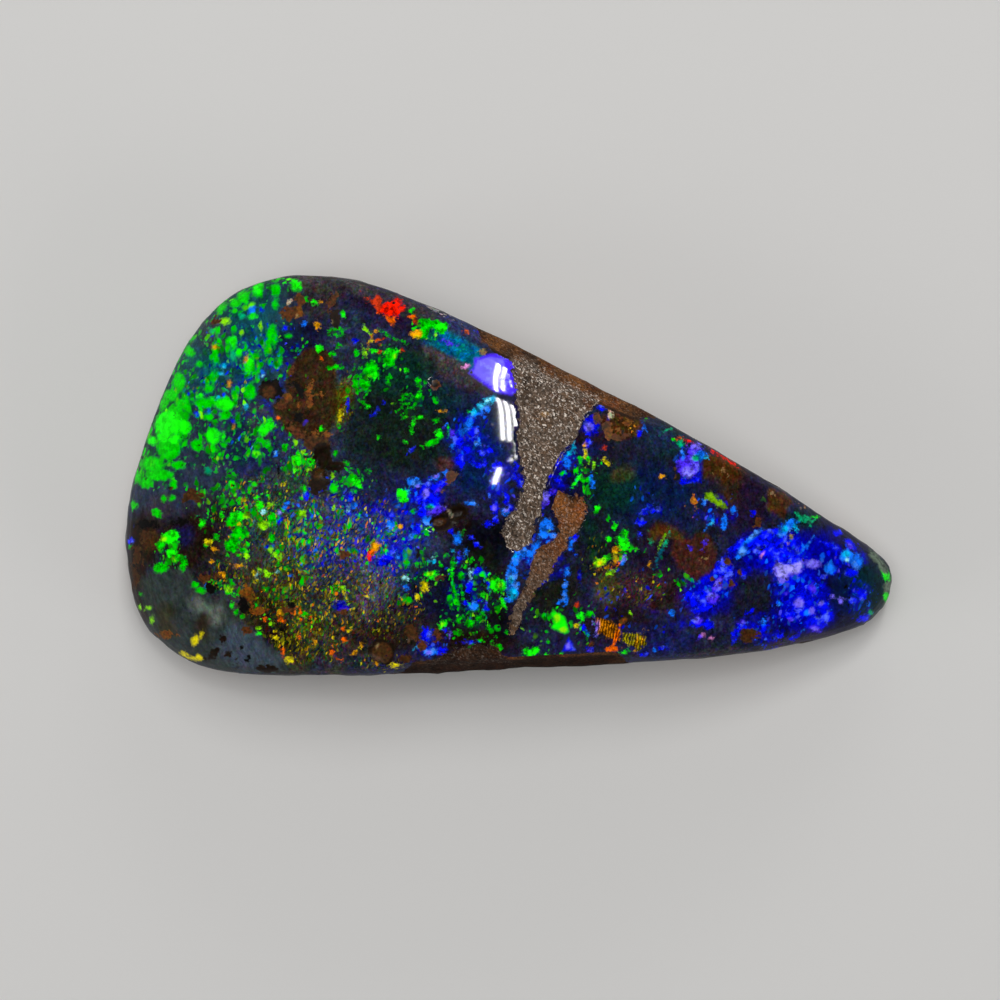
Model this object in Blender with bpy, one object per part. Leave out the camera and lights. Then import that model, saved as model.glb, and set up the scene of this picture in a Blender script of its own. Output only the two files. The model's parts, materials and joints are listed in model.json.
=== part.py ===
# Boulder opal: one freeform stone, a seam of opal polished where it grew on its ironstone host.
# It is shaped in millimetres and scaled to metres at the end. +X runs to the pointed tip and
# +Z out of the polished face. The origin is under the middle of the box, on the flat ground back.
import math

import bmesh
import bpy
import numpy as np
from mathutils import Vector, noise
from mathutils.geometry import delaunay_2d_cdt

METRES_PER_MM = 0.001

# Outline of the stone at its widest, clockwise from the tip, mm
OUTLINE = [
    (15.45, -4.15), (15.10, -5.25), (13.75, -6.24), (9.60, -7.10), (4.60, -7.50), (-1.20, -7.80),
    (-6.80, -7.96), (-11.00, -7.92), (-13.40, -7.20), (-14.85, -5.65), (-15.38, -3.60),
    (-15.30, -1.00), (-14.40, 2.10), (-13.12, 5.00), (-11.45, 6.98), (-9.20, 7.92), (-6.40, 7.84),
    (-3.60, 6.92), (0.60, 4.98), (5.60, 2.44), (10.60, -0.40), (14.10, -2.58), (15.18, -3.45),
]
OUTLINE_STATIONS = 176
SPINE = ((-9.4, 0.0), (10.6, -4.3))  # the line that the rings of the rim lean towards

# The polished face: a low dome, with a soft ridge where a wide bevel was ground on its upper side
CREST = (-0.9, -1.3)
CREST_HEIGHT = 6.0
DOME_RADIUS_X = 39.0
DOME_RADIUS_Y = 33.0
RIDGE_START = (-6.20, 6.05)
RIDGE_END = (0.25, 3.20)
RIDGE_SOFTNESS = 0.22
BEVEL_SLOPE = 0.17
BEVEL_FADES_LEFT = (-9.5, -5.5)
BEVEL_FADES_RIGHT = (3.5, 9.0)

# The face rolls over into the wall. The roll is wider at the blunt end and at the tip
ROLL_WIDTH = 0.45
ROLL_EXTRA_LEFT = 1.5
ROLL_EXTRA_TIP = 0.8
ROLL_DEPTH_SHARE = 0.55
ROLL_RINGS = (0.08, 0.25, 0.55, 1.0)  # places across the roll, as shares of its width

# How far the face's edge stands in from the outline, mm, and where the host rock shows as a ledge
RIM_INSET = 0.18
RIM_DROP = 0.22
UPPER_LEDGE_EXTRA = 0.40
UPPER_LEDGE_X = (-2.4, -0.2, 4.4, 6.6)
LOWER_LEDGE_EXTRA = 0.30
LOWER_LEDGE_X = (-5.5, -3.0, 3.6, 5.8)
LEDGE_EXTRA_DROP = 0.26
LEDGE_FOOT_GAP = 0.10

# Host rock that crosses the face, lower than the opal beside it: a grey granular vein, a brown
# band that wedges out below it, and the rock that comes through at the lower edge
ROCK_PATCHES = {
    "vein": [
        (0.25, 4.60), (0.30, 2.90), (0.40, 0.90), (0.60, -0.40), (0.00, -1.60), (-0.25, -2.35),
        (0.10, -2.90), (0.80, -2.45), (1.15, -1.10), (1.75, 0.40), (3.40, 2.75), (4.30, 3.50),
        (2.20, 4.80),
    ],
    "band": [
        (1.85, -0.85), (2.75, -0.65), (3.08, -1.30), (2.90, -1.95), (2.00, -3.20), (1.00, -4.60),
        (0.45, -5.70), (0.10, -6.25), (0.08, -5.50), (0.62, -4.30), (1.05, -3.00), (1.65, -2.20),
    ],
    "lower_rock": [
        (-3.40, -7.90), (-3.05, -7.20), (-2.45, -6.82), (-1.75, -6.62), (-1.10, -6.72),
        (-0.55, -6.86), (-0.10, -7.20), (0.10, -7.90),
    ],
}
ROCK_DEPTHS = {"vein": 0.14, "band": 0.10, "lower_rock": 0.12}
RECESS_EDGE = 0.14
ROCK_RELIEF = 0.07
ROCK_RELIEF_SCALE = 0.42

# Pits and nodules of host rock in the face: x, y, half length, half width, turn in degrees, depth
PITS = {
    "boot_shaft": (-7.45, 0.55, 0.62, 0.34, 65, 0.26),
    "boot_toe": (-7.00, 0.10, 0.42, 0.28, 20, 0.20),
    "round_nodule": (-9.55, 3.40, 0.46, 0.46, 0, 0.12),
    "twin_pit_left": (-2.80, -1.85, 0.42, 0.32, 30, 0.28),
    "twin_pit_right": (-2.05, -1.50, 0.38, 0.30, 10, 0.24),
    "pinhole": (-2.95, 3.60, 0.24, 0.24, 0, 0.10),
    "bottom_nodule": (-5.05, -6.90, 0.66, 0.48, -15, 0.16),
    "bottom_nodule_right": (-3.85, -6.15, 0.60, 0.44, 25, 0.12),
    "upper_nodule": (-8.65, 6.75, 0.42, 0.50, 0, 0.10),
    "upper_cleft": (-7.25, 6.20, 0.30, 0.85, -12, 0.16),
    "left_hollow": (-14.35, -2.70, 0.50, 0.80, 8, 0.18),
}
PIT_RINGS = (1.1, 0.8, 0.5)  # rings of points round a pit, as shares of its half sizes
PIT_STATIONS = 12

# The side wall of ironstone, from the flat back up to the face
CHAMFER_RISE = 0.45
BACK_INSET = 0.80
CHAMFER_INSET = 0.25
GIRDLE_SHARE = 0.55
WALL_STATIONS = 4
WALL_LUMPS = 0.26
WALL_LUMP_SCALE = 2.6
WALL_ROUGHNESS = 0.12
WALL_GRAIN = 0.8

# Natural hollows that the flat grinding of the back didn't reach, given as the pits are
BACK_HOLLOWS = {
    "left_back_hollow": (-9.6, 2.6, 1.9, 0.8, 35, 0.50),
    "lower_back_hollow": (-4.2, -4.6, 1.3, 0.7, -20, 0.35),
    "tip_back_hollow": (8.4, -3.3, 1.6, 0.6, -30, 0.40),
}

# Spacing of the points that carry the face, the rock patches and the back, mm
FACE_SPACING = 0.66
ROCK_SPACING = 0.27
BACK_SPACING = 1.6
LINE_CLEARANCE = 0.55  # free points keep this share of their spacing from those already placed
BORDER_CLEARANCE = 0.15  # how close a drawn line may come to the border of its sheet
ROLL_CLEARANCE = 0.03
PIT_CLEARANCE = 0.06
RIDGE_CLEARANCE = 0.12
RIDGE_ROWS = (-0.3, 0.0, 0.3)  # rows of points along the ridge, beside its line
RIDGE_STATIONS = 15
PATCH_SPACING = 0.3

OPAL_COLOUR = (0.03, 0.07, 0.10, 1.0)
OPAL_ROUGHNESS = 0.06
IRONSTONE_COLOUR = (0.14, 0.07, 0.03, 1.0)
IRONSTONE_ROUGHNESS = 0.72


def clear_scene():
    for item in list(bpy.data.objects):
        bpy.data.objects.remove(item)


def smooth_step(low, high, value):
    share = np.clip((value - low) / (high - low), 0.0, 1.0)
    return share * share * (3.0 - 2.0 * share)


def window(x, fades):
    # 1 between the middle two values of fades, 0 outside the outer two
    return smooth_step(fades[0], fades[1], x) * (1.0 - smooth_step(fades[2], fades[3], x))


def closed_curve(knots, count=None, spacing=None):
    # Catmull-Rom through the knots, read at even steps of arc length
    knots = np.array(knots, float)
    t = np.linspace(0.0, 1.0, 40, endpoint=False)[:, None]
    stretches = []
    for i in range(len(knots)):
        a, b, c, d = (knots[(i + k) % len(knots)] for k in (-1, 0, 1, 2))
        stretches.append(
            0.5 * (2 * b + (c - a) * t + (2 * a - 5 * b + 4 * c - d) * t**2
                   + (3 * b - a - 3 * c + d) * t**3)
        )
    line = np.vstack(stretches + [stretches[0][:1]])
    length = np.concatenate([[0.0], np.cumsum(np.linalg.norm(np.diff(line, axis=0), axis=1))])
    count = count or round(length[-1] / spacing)
    even = np.linspace(0.0, length[-1], count, endpoint=False)
    return np.stack([np.interp(even, length, line[:, k]) for k in (0, 1)], axis=1)


def inward_normals(line):
    # Unit normals of a closed line, towards its inside whichever way it runs
    along = np.roll(line, -1, axis=0) - np.roll(line, 1, axis=0)
    along /= np.linalg.norm(along, axis=1)[:, None]
    ahead = np.roll(line, -1, axis=0)
    area = (line[:, 0] * ahead[:, 1] - ahead[:, 0] * line[:, 1]).sum()
    return np.stack([-along[:, 1], along[:, 0]], axis=1) * np.sign(area)


def distance_to_line(points, line):
    # Distance from each point to a closed line of short straight pieces
    ends = np.roll(line, -1, axis=0)
    run = ends - line
    share = ((points[:, None] - line) * run).sum(2) / (run * run).sum(1)
    nearest = line + np.clip(share, 0.0, 1.0)[..., None] * run
    return np.linalg.norm(points[:, None] - nearest, axis=2).min(1)


def inside(points, line):
    ends = np.roll(line, -1, axis=0)
    x, y = points[:, 0:1], points[:, 1:2]
    crosses = (line[:, 1] > y) != (ends[:, 1] > y)
    rise = np.where(ends[:, 1] == line[:, 1], 1e-9, ends[:, 1] - line[:, 1])
    left = x < (ends[:, 0] - line[:, 0]) * (y - line[:, 1]) / rise + line[:, 0]
    return (crosses & left).sum(1) % 2 == 1


def rock_grain(points, heights, scale):
    return np.array([
        noise.fractal(Vector((x / scale, y / scale, z / scale)), 0.6, 2.0, 3)
        for (x, y), z in zip(points, heights)
    ])


def recess(points, outline, depth):
    # Full depth inside the foot of the patch's edge, with the relief of its grains
    reach = distance_to_line(points, outline) * np.where(inside(points, outline), 1.0, -1.0)
    share = np.clip(reach / RECESS_EDGE, 0.0, 1.0)
    relief = ROCK_RELIEF * rock_grain(points, np.zeros(len(points)), ROCK_RELIEF_SCALE)
    return share * (depth - relief)


def pit(points, x, y, half_length, half_width, turn, depth):
    angle = math.radians(turn)
    off = points - np.array([x, y])
    u = (off[:, 0] * math.cos(angle) + off[:, 1] * math.sin(angle)) / half_length
    v = (off[:, 1] * math.cos(angle) - off[:, 0] * math.sin(angle)) / half_width
    return depth * (1.0 - smooth_step(0.45, 1.1, np.hypot(u, v)))


def pit_points(x, y, half_length, half_width, turn, depth):
    angle = math.radians(turn)
    points = [(x, y)]
    for ring in PIT_RINGS:
        for k in range(PIT_STATIONS):
            around = 2 * math.pi * k / PIT_STATIONS
            u = ring * half_length * math.cos(around)
            v = ring * half_width * math.sin(around)
            points.append((
                x + u * math.cos(angle) - v * math.sin(angle),
                y + u * math.sin(angle) + v * math.cos(angle),
            ))
    return np.array(points)


def dome_height(points):
    x, y = points[:, 0], points[:, 1]
    return (
        CREST_HEIGHT
        - (x - CREST[0]) ** 2 / (2 * DOME_RADIUS_X)
        - (y - CREST[1]) ** 2 / (2 * DOME_RADIUS_Y)
    )


def ridge_across():
    run = np.array(RIDGE_END) - np.array(RIDGE_START)
    return np.array([-run[1], run[0]]) / np.linalg.norm(run)


def bevel_drop(points):
    beyond = (points - np.array(RIDGE_START)) @ ridge_across()
    bend = RIDGE_SOFTNESS * np.logaddexp(0.0, beyond / RIDGE_SOFTNESS)
    return BEVEL_SLOPE * bend * window(points[:, 0], BEVEL_FADES_LEFT + BEVEL_FADES_RIGHT)


def roll_width(points):
    x = points[:, 0]
    return (
        ROLL_WIDTH
        + ROLL_EXTRA_LEFT * (1.0 - smooth_step(-15.0, -9.0, x))
        + ROLL_EXTRA_TIP * smooth_step(9.0, 14.5, x)
    )


def rim_roll(points, rim):
    width = roll_width(points)
    share = 1.0 - np.clip(distance_to_line(points, rim) / width, 0.0, 1.0)
    return ROLL_DEPTH_SHARE * width * (1.0 - np.sqrt(1.0 - 0.98 * share**2))


def face_height(points, rim, patches):
    height = dome_height(points) - bevel_drop(points) - rim_roll(points, rim)
    for name, outline in patches.items():
        height -= recess(points, outline, ROCK_DEPTHS[name])
    for shape in PITS.values():
        height -= pit(points, *shape)
    return height


def ledge_share(outline):
    # 1 where the host rock shows as a ledge beside the face, 0 elsewhere
    x, upper = outline[:, 0], outline[:, 1] > -0.30 * outline[:, 0] - 2.0
    return window(x, UPPER_LEDGE_X) * upper, window(x, LOWER_LEDGE_X) * ~upper


def spine_points(points):
    start, end = np.array(SPINE[0]), np.array(SPINE[1])
    run = end - start
    share = np.clip(((points - start) @ run) / (run @ run), 0.0, 1.0)
    return start + share[:, None] * run


def hex_grid(low, high, spacing):
    rows = []
    step = spacing * math.sqrt(3) / 2
    for k, y in enumerate(np.arange(low[1], high[1], step)):
        x = np.arange(low[0] + 0.5 * spacing * (k % 2), high[0], spacing)
        rows.append(np.stack([x, np.full(len(x), y)], axis=1))
    return np.vstack(rows)


def clear_of(points, others, gap):
    others = np.array(others)
    return points[np.linalg.norm(points[:, None] - others, axis=2).min(1) > gap]


class Sheet:
    # Points and lines that a triangulation of a flat region has to keep
    def __init__(self, border):
        self.border = border
        self.points = [tuple(p) for p in border]
        self.lines = []

    def add_line(self, line):
        # A closed line. Stretches of it outside the border, or close to it, are left out
        kept = inside(line, self.border)
        kept &= distance_to_line(line, self.border) > BORDER_CLEARANCE
        places = {}
        for i in np.flatnonzero(kept):
            places[i] = len(self.points)
            self.points.append(tuple(line[i]))
        for i in places:
            j = (i + 1) % len(line)
            if j in places:
                self.lines.append((places[i], places[j]))

    def add_points(self, points, gap):
        points = points[inside(points, self.border)]
        points = clear_of(points, self.points, gap)
        self.points += [tuple(p) for p in points]

    def triangles(self):
        # Places, triangles, and for each place its number on the border or None
        count = len(self.border)
        vertices, _, faces, origin, _, _ = delaunay_2d_cdt(
            [Vector(p) for p in self.points], self.lines, [list(range(count))], 1, 1e-5
        )
        on_border = [min([n for n in known if n < count], default=None) for known in origin]
        return np.array([tuple(v) for v in vertices]), faces, on_border


def face_sheet(rim, patches):
    sheet = Sheet(rim)
    lean = spine_points(rim) - rim
    lean /= np.linalg.norm(lean, axis=1)[:, None]
    width = roll_width(rim)
    for outline in patches.values():
        sheet.add_line(outline)
        sheet.add_line(outline + inward_normals(outline) * RECESS_EDGE)
    for share in ROLL_RINGS:
        sheet.add_points(rim + lean * (share * width)[:, None], ROLL_CLEARANCE)
    for shape in PITS.values():
        sheet.add_points(pit_points(*shape), PIT_CLEARANCE)
    start, end = np.array(RIDGE_START), np.array(RIDGE_END)
    along = start + (end - start) * np.linspace(0.0, 1.0, RIDGE_STATIONS)[:, None]
    for row in RIDGE_ROWS:
        sheet.add_points(along + ridge_across() * row, RIDGE_CLEARANCE)
    for outline in patches.values():
        grid = hex_grid(outline.min(0), outline.max(0), ROCK_SPACING)
        sheet.add_points(grid[inside(grid, outline)], LINE_CLEARANCE * ROCK_SPACING)
    grid = hex_grid(rim.min(0), rim.max(0), FACE_SPACING)
    sheet.add_points(grid, LINE_CLEARANCE * FACE_SPACING)
    return sheet


def back_sheet(ring):
    sheet = Sheet(ring)
    for shape in BACK_HOLLOWS.values():
        sheet.add_points(pit_points(*shape), PIT_CLEARANCE)
    grid = hex_grid(ring.min(0), ring.max(0), BACK_SPACING)
    sheet.add_points(grid, LINE_CLEARANCE * BACK_SPACING)
    return sheet


def wall_rings(outline, inward, rim_inset, rim_height, ledge):
    # From just above the flat back to just under the face, as (points, heights)
    chamfer = np.full(len(outline), CHAMFER_RISE)
    girdle = GIRDLE_SHARE * rim_height
    profile = [(CHAMFER_INSET, chamfer, 0.6)]
    for k in range(WALL_STATIONS):
        rise = (k + 1) / (WALL_STATIONS + 1)
        inset = CHAMFER_INSET * (1.0 - rise) ** 2
        profile.append((inset, chamfer + (girdle - chamfer) * rise, 1.0))
    profile.append((0.0, girdle, 0.45))
    drop = RIM_DROP + LEDGE_EXTRA_DROP * ledge
    profile.append((0.02, 0.5 * (girdle + rim_height - drop), 0.7))
    profile.append((0.06, rim_height - 1.4 * drop, 0.05 + 0.25 * ledge))
    foot = np.maximum(rim_inset - LEDGE_FOOT_GAP, 0.09)
    profile.append((foot, rim_height - drop * (0.75 - 0.05 * ledge), 0.25 * ledge))
    rings = []
    for inset, height, rough in profile:
        points = outline + inward * np.broadcast_to(inset, len(outline))[:, None]
        lumps = WALL_LUMPS * np.maximum(rock_grain(points, height, WALL_LUMP_SCALE), 0.0)
        grain = WALL_ROUGHNESS * rock_grain(points, height, WALL_GRAIN)
        rings.append((points + inward * (rough * (lumps + grain))[:, None], height))
    return rings


def ironstone_faces(mesh, patches):
    # The wall, the back and the recessed rock of the face take the second material
    middles = np.array([face.calc_center_median()[:2] for face in mesh.faces])
    rock = np.zeros(len(middles), bool)
    for outline in patches.values():
        rock |= inside(middles, outline)
    for face, on_rock in zip(mesh.faces, rock):
        face.material_index = 1 if on_rock or face.normal.z < 0.35 else 0


def material(name, colour, roughness):
    made = bpy.data.materials.new(name)
    made.use_nodes = True
    shader = made.node_tree.nodes["Principled BSDF"]
    shader.inputs["Base Color"].default_value = colour
    shader.inputs["Roughness"].default_value = roughness
    shader.inputs["Metallic"].default_value = 0.0
    made.diffuse_color = colour
    return made


def add_ring(mesh, points, heights):
    return [mesh.verts.new((x, y, z)) for (x, y), z in zip(points, heights)]


def add_sheet(mesh, sheet, border, height_of, facing_up):
    # Fills a border loop that is already in the mesh with the sheet's triangles
    places, triangles, on_border = sheet.triangles()
    heights = height_of(places)
    corners = [
        mesh.verts.new((x, y, z)) if known is None else border[known]
        for (x, y), z, known in zip(places, heights, on_border)
    ]
    for a, b, c in triangles:
        order = (a, b, c) if facing_up else (c, b, a)
        mesh.faces.new([corners[i] for i in order])


def boulder_opal():
    outline = closed_curve(OUTLINE, count=OUTLINE_STATIONS)
    inward = inward_normals(outline)
    patches = {name: closed_curve(knots, spacing=PATCH_SPACING) for name, knots in ROCK_PATCHES.items()}
    upper, lower = ledge_share(outline)
    inset = RIM_INSET + UPPER_LEDGE_EXTRA * upper + LOWER_LEDGE_EXTRA * lower
    rim = outline + inward * inset[:, None]
    rim_height = face_height(rim, rim, patches)
    back = outline + inward * BACK_INSET

    def face_top(places):
        return face_height(places, rim, patches)

    def hollow_back(places):
        return sum(pit(places, *shape) for shape in BACK_HOLLOWS.values())

    mesh = bmesh.new()
    loops = [add_ring(mesh, back, np.zeros(len(back)))]
    for points, heights in wall_rings(outline, inward, inset, rim_height, upper + lower):
        loops.append(add_ring(mesh, points, heights))
    loops.append(add_ring(mesh, rim, rim_height))
    for below, above in zip(loops, loops[1:]):
        for i in range(OUTLINE_STATIONS):
            j = (i + 1) % OUTLINE_STATIONS
            mesh.faces.new((below[j], below[i], above[i], above[j]))
    add_sheet(mesh, face_sheet(rim, patches), loops[-1], face_top, facing_up=True)
    add_sheet(mesh, back_sheet(back), loops[0], hollow_back, facing_up=False)
    bmesh.ops.triangulate(mesh, faces=mesh.faces[:])
    bmesh.ops.recalc_face_normals(mesh, faces=mesh.faces[:])
    ironstone_faces(mesh, patches)
    spots = np.array([corner.co for corner in mesh.verts])
    middle = 0.5 * (spots.min(0) + spots.max(0))
    bmesh.ops.translate(mesh, vec=(-middle[0], -middle[1], 0.0), verts=mesh.verts)
    bmesh.ops.scale(mesh, vec=(METRES_PER_MM,) * 3, verts=mesh.verts)

    data = bpy.data.meshes.new("boulder_opal")
    mesh.to_mesh(data)
    mesh.free()
    stone = bpy.data.objects.new("boulder_opal", data)
    bpy.context.scene.collection.objects.link(stone)
    data.materials.append(material("polished_opal", OPAL_COLOUR, OPAL_ROUGHNESS))
    data.materials.append(material("ironstone", IRONSTONE_COLOUR, IRONSTONE_ROUGHNESS))
    data.shade_smooth()
    data.set_sharp_from_angle(angle=math.radians(30))
    return stone


clear_scene()
boulder_opal()
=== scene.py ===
import json
import math

import bpy
import numpy as np
from mathutils import Matrix, Vector

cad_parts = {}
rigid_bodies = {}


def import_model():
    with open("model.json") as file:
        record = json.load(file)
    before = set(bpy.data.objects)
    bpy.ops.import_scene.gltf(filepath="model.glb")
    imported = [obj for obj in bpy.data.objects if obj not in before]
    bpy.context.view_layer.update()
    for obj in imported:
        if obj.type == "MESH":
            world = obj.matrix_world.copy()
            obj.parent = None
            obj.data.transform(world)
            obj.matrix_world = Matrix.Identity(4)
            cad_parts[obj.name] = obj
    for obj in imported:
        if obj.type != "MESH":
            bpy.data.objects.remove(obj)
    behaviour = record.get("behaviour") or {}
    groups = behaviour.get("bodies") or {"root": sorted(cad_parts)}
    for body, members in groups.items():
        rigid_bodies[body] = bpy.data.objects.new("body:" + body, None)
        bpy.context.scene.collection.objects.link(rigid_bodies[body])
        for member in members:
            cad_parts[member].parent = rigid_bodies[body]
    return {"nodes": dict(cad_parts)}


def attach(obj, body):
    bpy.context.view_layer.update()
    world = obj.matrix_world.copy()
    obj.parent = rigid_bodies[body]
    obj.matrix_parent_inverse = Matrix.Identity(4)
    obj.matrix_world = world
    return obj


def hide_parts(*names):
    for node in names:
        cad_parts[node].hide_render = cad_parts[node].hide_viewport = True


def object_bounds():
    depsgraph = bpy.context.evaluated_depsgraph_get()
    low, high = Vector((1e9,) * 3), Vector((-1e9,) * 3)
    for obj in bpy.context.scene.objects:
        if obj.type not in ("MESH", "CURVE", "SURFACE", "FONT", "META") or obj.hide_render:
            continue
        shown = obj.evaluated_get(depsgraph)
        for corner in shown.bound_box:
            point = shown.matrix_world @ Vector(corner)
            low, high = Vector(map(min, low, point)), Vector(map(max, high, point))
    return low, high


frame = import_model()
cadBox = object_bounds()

# A polished freeform boulder opal, lying on its ground back, seen from straight above.
# The solid gives the body of the stone. Here its face gets a true polish, the ironstone its
# grain, and the seam of opal its play of colour.

mm = 0.001

# Colours and marks are placed in pixels of the 1000 x 1000 picture, 25 of them to a millimetre
picture = {
    "pixelsPerMm": 25.0,
    "middle": 500.0,         # its middle column and row
}


# Small tools: curves, distances, noise

def smoothStep(low, high, value):
    share = np.clip((value - low) / (high - low), 0.0, 1.0)
    return share * share * (3.0 - 2.0 * share)


def band(x, fades):
    # rises over the first two of the fades and falls over the last two
    return smoothStep(fades[0], fades[1], x) * (1.0 - smoothStep(fades[2], fades[3], x))


curveSteps = 24          # from knot to knot


def closedCurve(knots, spacing):
    # a smooth closed line through the knots, with a point every spacing
    knots = np.array(knots, float)
    t = np.linspace(0.0, 1.0, curveSteps, endpoint=False)[:, None]
    runs = []
    for i in range(len(knots)):
        a, b, c, d = (knots[(i + k) % len(knots)] for k in (-1, 0, 1, 2))
        runs.append(0.5 * (2 * b + (c - a) * t + (2 * a - 5 * b + 4 * c - d) * t ** 2
                           + (3 * b - a - 3 * c + d) * t ** 3))
    line = np.vstack(runs + [runs[0][:1]])
    length = np.concatenate([[0.0], np.cumsum(np.linalg.norm(np.diff(line, axis=0), axis=1))])
    even = np.linspace(0.0, length[-1], max(int(length[-1] / spacing), 8), endpoint=False)
    return np.stack([np.interp(even, length, line[:, k]) for k in (0, 1)], axis=1)


def signedReach(points, line):
    # distance to a closed line, positive inside it
    reach = np.full(len(points), 1e9)
    crossings = np.zeros(len(points), int)
    x, y = points[:, 0], points[:, 1]
    for start, end in zip(line, np.roll(line, -1, axis=0)):
        run = end - start
        share = np.clip(((points - start) @ run) / max(run @ run, 1e-12), 0.0, 1.0)
        gap = np.hypot(x - start[0] - share * run[0], y - start[1] - share * run[1])
        reach = np.minimum(reach, gap)
        if start[1] != end[1]:
            over = (start[1] > y) != (end[1] > y)
            crossings += over & (x < run[0] * (y - start[1]) / run[1] + start[0])
    return reach * np.where(crossings % 2 == 1, 1.0, -1.0)


# The lattice of the noise: its cells each way, and how far the first place and every further
# octave are moved on it
noiseGrid = {"cells": 256, "start": 500.0, "steps": (37.1, 11.7)}


def latticeNoise(x, y, scale, seed, octaves):
    # smooth noise from 0 to 1 on a plane, from a seeded lattice
    cells, start = noiseGrid["cells"], noiseGrid["start"]
    stepX, stepY = noiseGrid["steps"]
    lattice = np.random.default_rng(seed).random((cells, cells))
    total, weight, size = 0.0, 0.0, scale
    for k in range(octaves):
        u, v = x / size + stepX * k + start, y / size + stepY * k + start
        i, j = np.floor(u).astype(int), np.floor(v).astype(int)
        fu, fv = u - i, v - j
        fu, fv = fu * fu * (3 - 2 * fu), fv * fv * (3 - 2 * fv)
        i, j = i % cells, j % cells
        i2, j2 = (i + 1) % cells, (j + 1) % cells
        low = lattice[i, j] * (1 - fu) + lattice[i2, j] * fu
        high = lattice[i, j2] * (1 - fu) + lattice[i2, j2] * fu
        total = total + (low * (1 - fv) + high * fv) * 0.5 ** k
        weight += 0.5 ** k
        size *= 0.5
    return total / weight


noiseKinds = {
    # size of the lumps in mm, or in pixels for ground and stain, then seed and octaves
    "rockCoarse": (0.80, 44, 2), "rockFine": (0.32, 4, 3), "pits": (0.35, 4, 3),
    "sand": (0.26, 7, 2), "wall": (0.55, 11, 4), "ground": (16.0, 21, 3), "stain": (7.0, 23, 3),
    "rust": (1.5, 37, 3), "fray": (0.7, 39, 3), "wander": (1.2, 31, 3), "tongues": (0.45, 35, 3),
    "pale": (0.9, 33, 3), "flashEnd": (0.5, 51, 3),
}


def shapeNoise(x, y, kind):
    return latticeNoise(x, y, *noiseKinds[kind])


# The form of the face, in millimetres, the same as the solid's

form = {
    "outline": [
        (15.45, -4.15), (15.10, -5.25), (13.75, -6.24), (9.60, -7.10), (4.60, -7.50),
        (-1.20, -7.80), (-6.80, -7.96), (-11.00, -7.92), (-13.40, -7.20), (-14.85, -5.65),
        (-15.38, -3.60), (-15.30, -1.00), (-14.40, 2.10), (-13.12, 5.00), (-11.45, 6.98),
        (-9.20, 7.92), (-6.40, 7.84), (-3.60, 6.92), (0.60, 4.98), (5.60, 2.44), (10.60, -0.40),
        (14.10, -2.58), (15.18, -3.45),
    ],
    "outlineSpacing": 0.3,
    "shift": (0.049, -0.004),       # the solid's box is centred on the origin
    "crest": (-0.9, -1.3),
    "crestHeight": 6.0,
    "domeRadius": (39.0, 33.0),
    "ridge": ((-6.20, 6.05), (0.25, 3.20)),
    "ridgeSoftness": 0.16,
    "bevelSlope": 0.17,
    "bevelFades": (-9.5, -5.5, 3.5, 9.0),
    "rollWidth": (0.45, 1.5, 0.8),  # along the sides, extra at the blunt end, extra at the tip
    "rollFades": ((-15.0, -9.0), (9.0, 14.5)),
    "rollDepth": 0.55,
    "rollEnd": 0.98,                # how far round the rim rolls
    "rimInset": 0.18,
    "axis": (-0.30, -2.0),          # slope and height of the line between upper and lower side
    "upperLedge": (0.40, (-2.4, -0.2, 4.4, 6.6)),       # further inset, and where along x
    "lowerLedge": (0.30, (-5.5, -3.0, 3.6, 5.8)),
    "recessEdge": 0.10,
    "widestHeight": 2.6,            # the stone is widest here
}

# Bare rock of the face: how much lower than the opal it lies, and the knots round it
rockPatches = {
    "vein": (0.14, [
        (0.25, 4.60), (0.30, 2.90), (0.40, 0.90), (0.60, -0.40), (0.00, -1.60), (-0.25, -2.35),
        (0.10, -2.92), (0.85, -2.62), (1.22, -1.40), (1.40, -0.60), (1.85, 0.40), (3.40, 2.75),
        (4.30, 3.50), (2.20, 4.80),
    ]),
    "band": (0.10, [
        (1.65, -1.36), (1.72, -0.98), (1.88, -0.66), (2.10, -0.62), (2.36, -0.74), (2.56, -0.68),
        (2.74, -0.82), (2.82, -1.02), (2.92, -1.36), (2.76, -1.85), (2.42, -2.35), (2.05, -3.10),
        (1.00, -4.60), (0.45, -5.70), (0.10, -6.25), (0.08, -5.50), (0.62, -4.30), (1.05, -3.00),
        (1.75, -2.30), (1.88, -1.80),
    ]),
    "lowerRock": (0.12, [
        (-3.40, -7.90), (-3.05, -7.20), (-2.45, -6.82), (-1.75, -6.62), (-1.10, -6.72),
        (-0.55, -6.86), (-0.10, -7.20), (0.10, -7.90),
    ]),
}

pitFades = (0.45, 1.1)     # a pit's floor and rim, in its own half sizes
pits = {
    # x, y, half length, half width, turn in degrees, depth
    "bootShaft": (-7.45, 0.55, 0.62, 0.34, 65, 0.26),
    "bootToe": (-7.00, 0.10, 0.42, 0.28, 20, 0.20),
    "twinPitLeft": (-2.80, -1.85, 0.42, 0.32, 30, 0.28),
    "twinPitRight": (-2.05, -1.50, 0.38, 0.30, 10, 0.24),
    "pinhole": (-2.95, 3.60, 0.22, 0.22, 0, 0.04),
    "bottomNodule": (-5.05, -6.90, 0.66, 0.48, -15, 0.06),
    "bottomNoduleRight": (-3.85, -6.15, 0.60, 0.44, 25, 0.05),
}


def onUpperSide(x, y):
    slope, height = form["axis"]
    return y > slope * x + height


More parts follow.
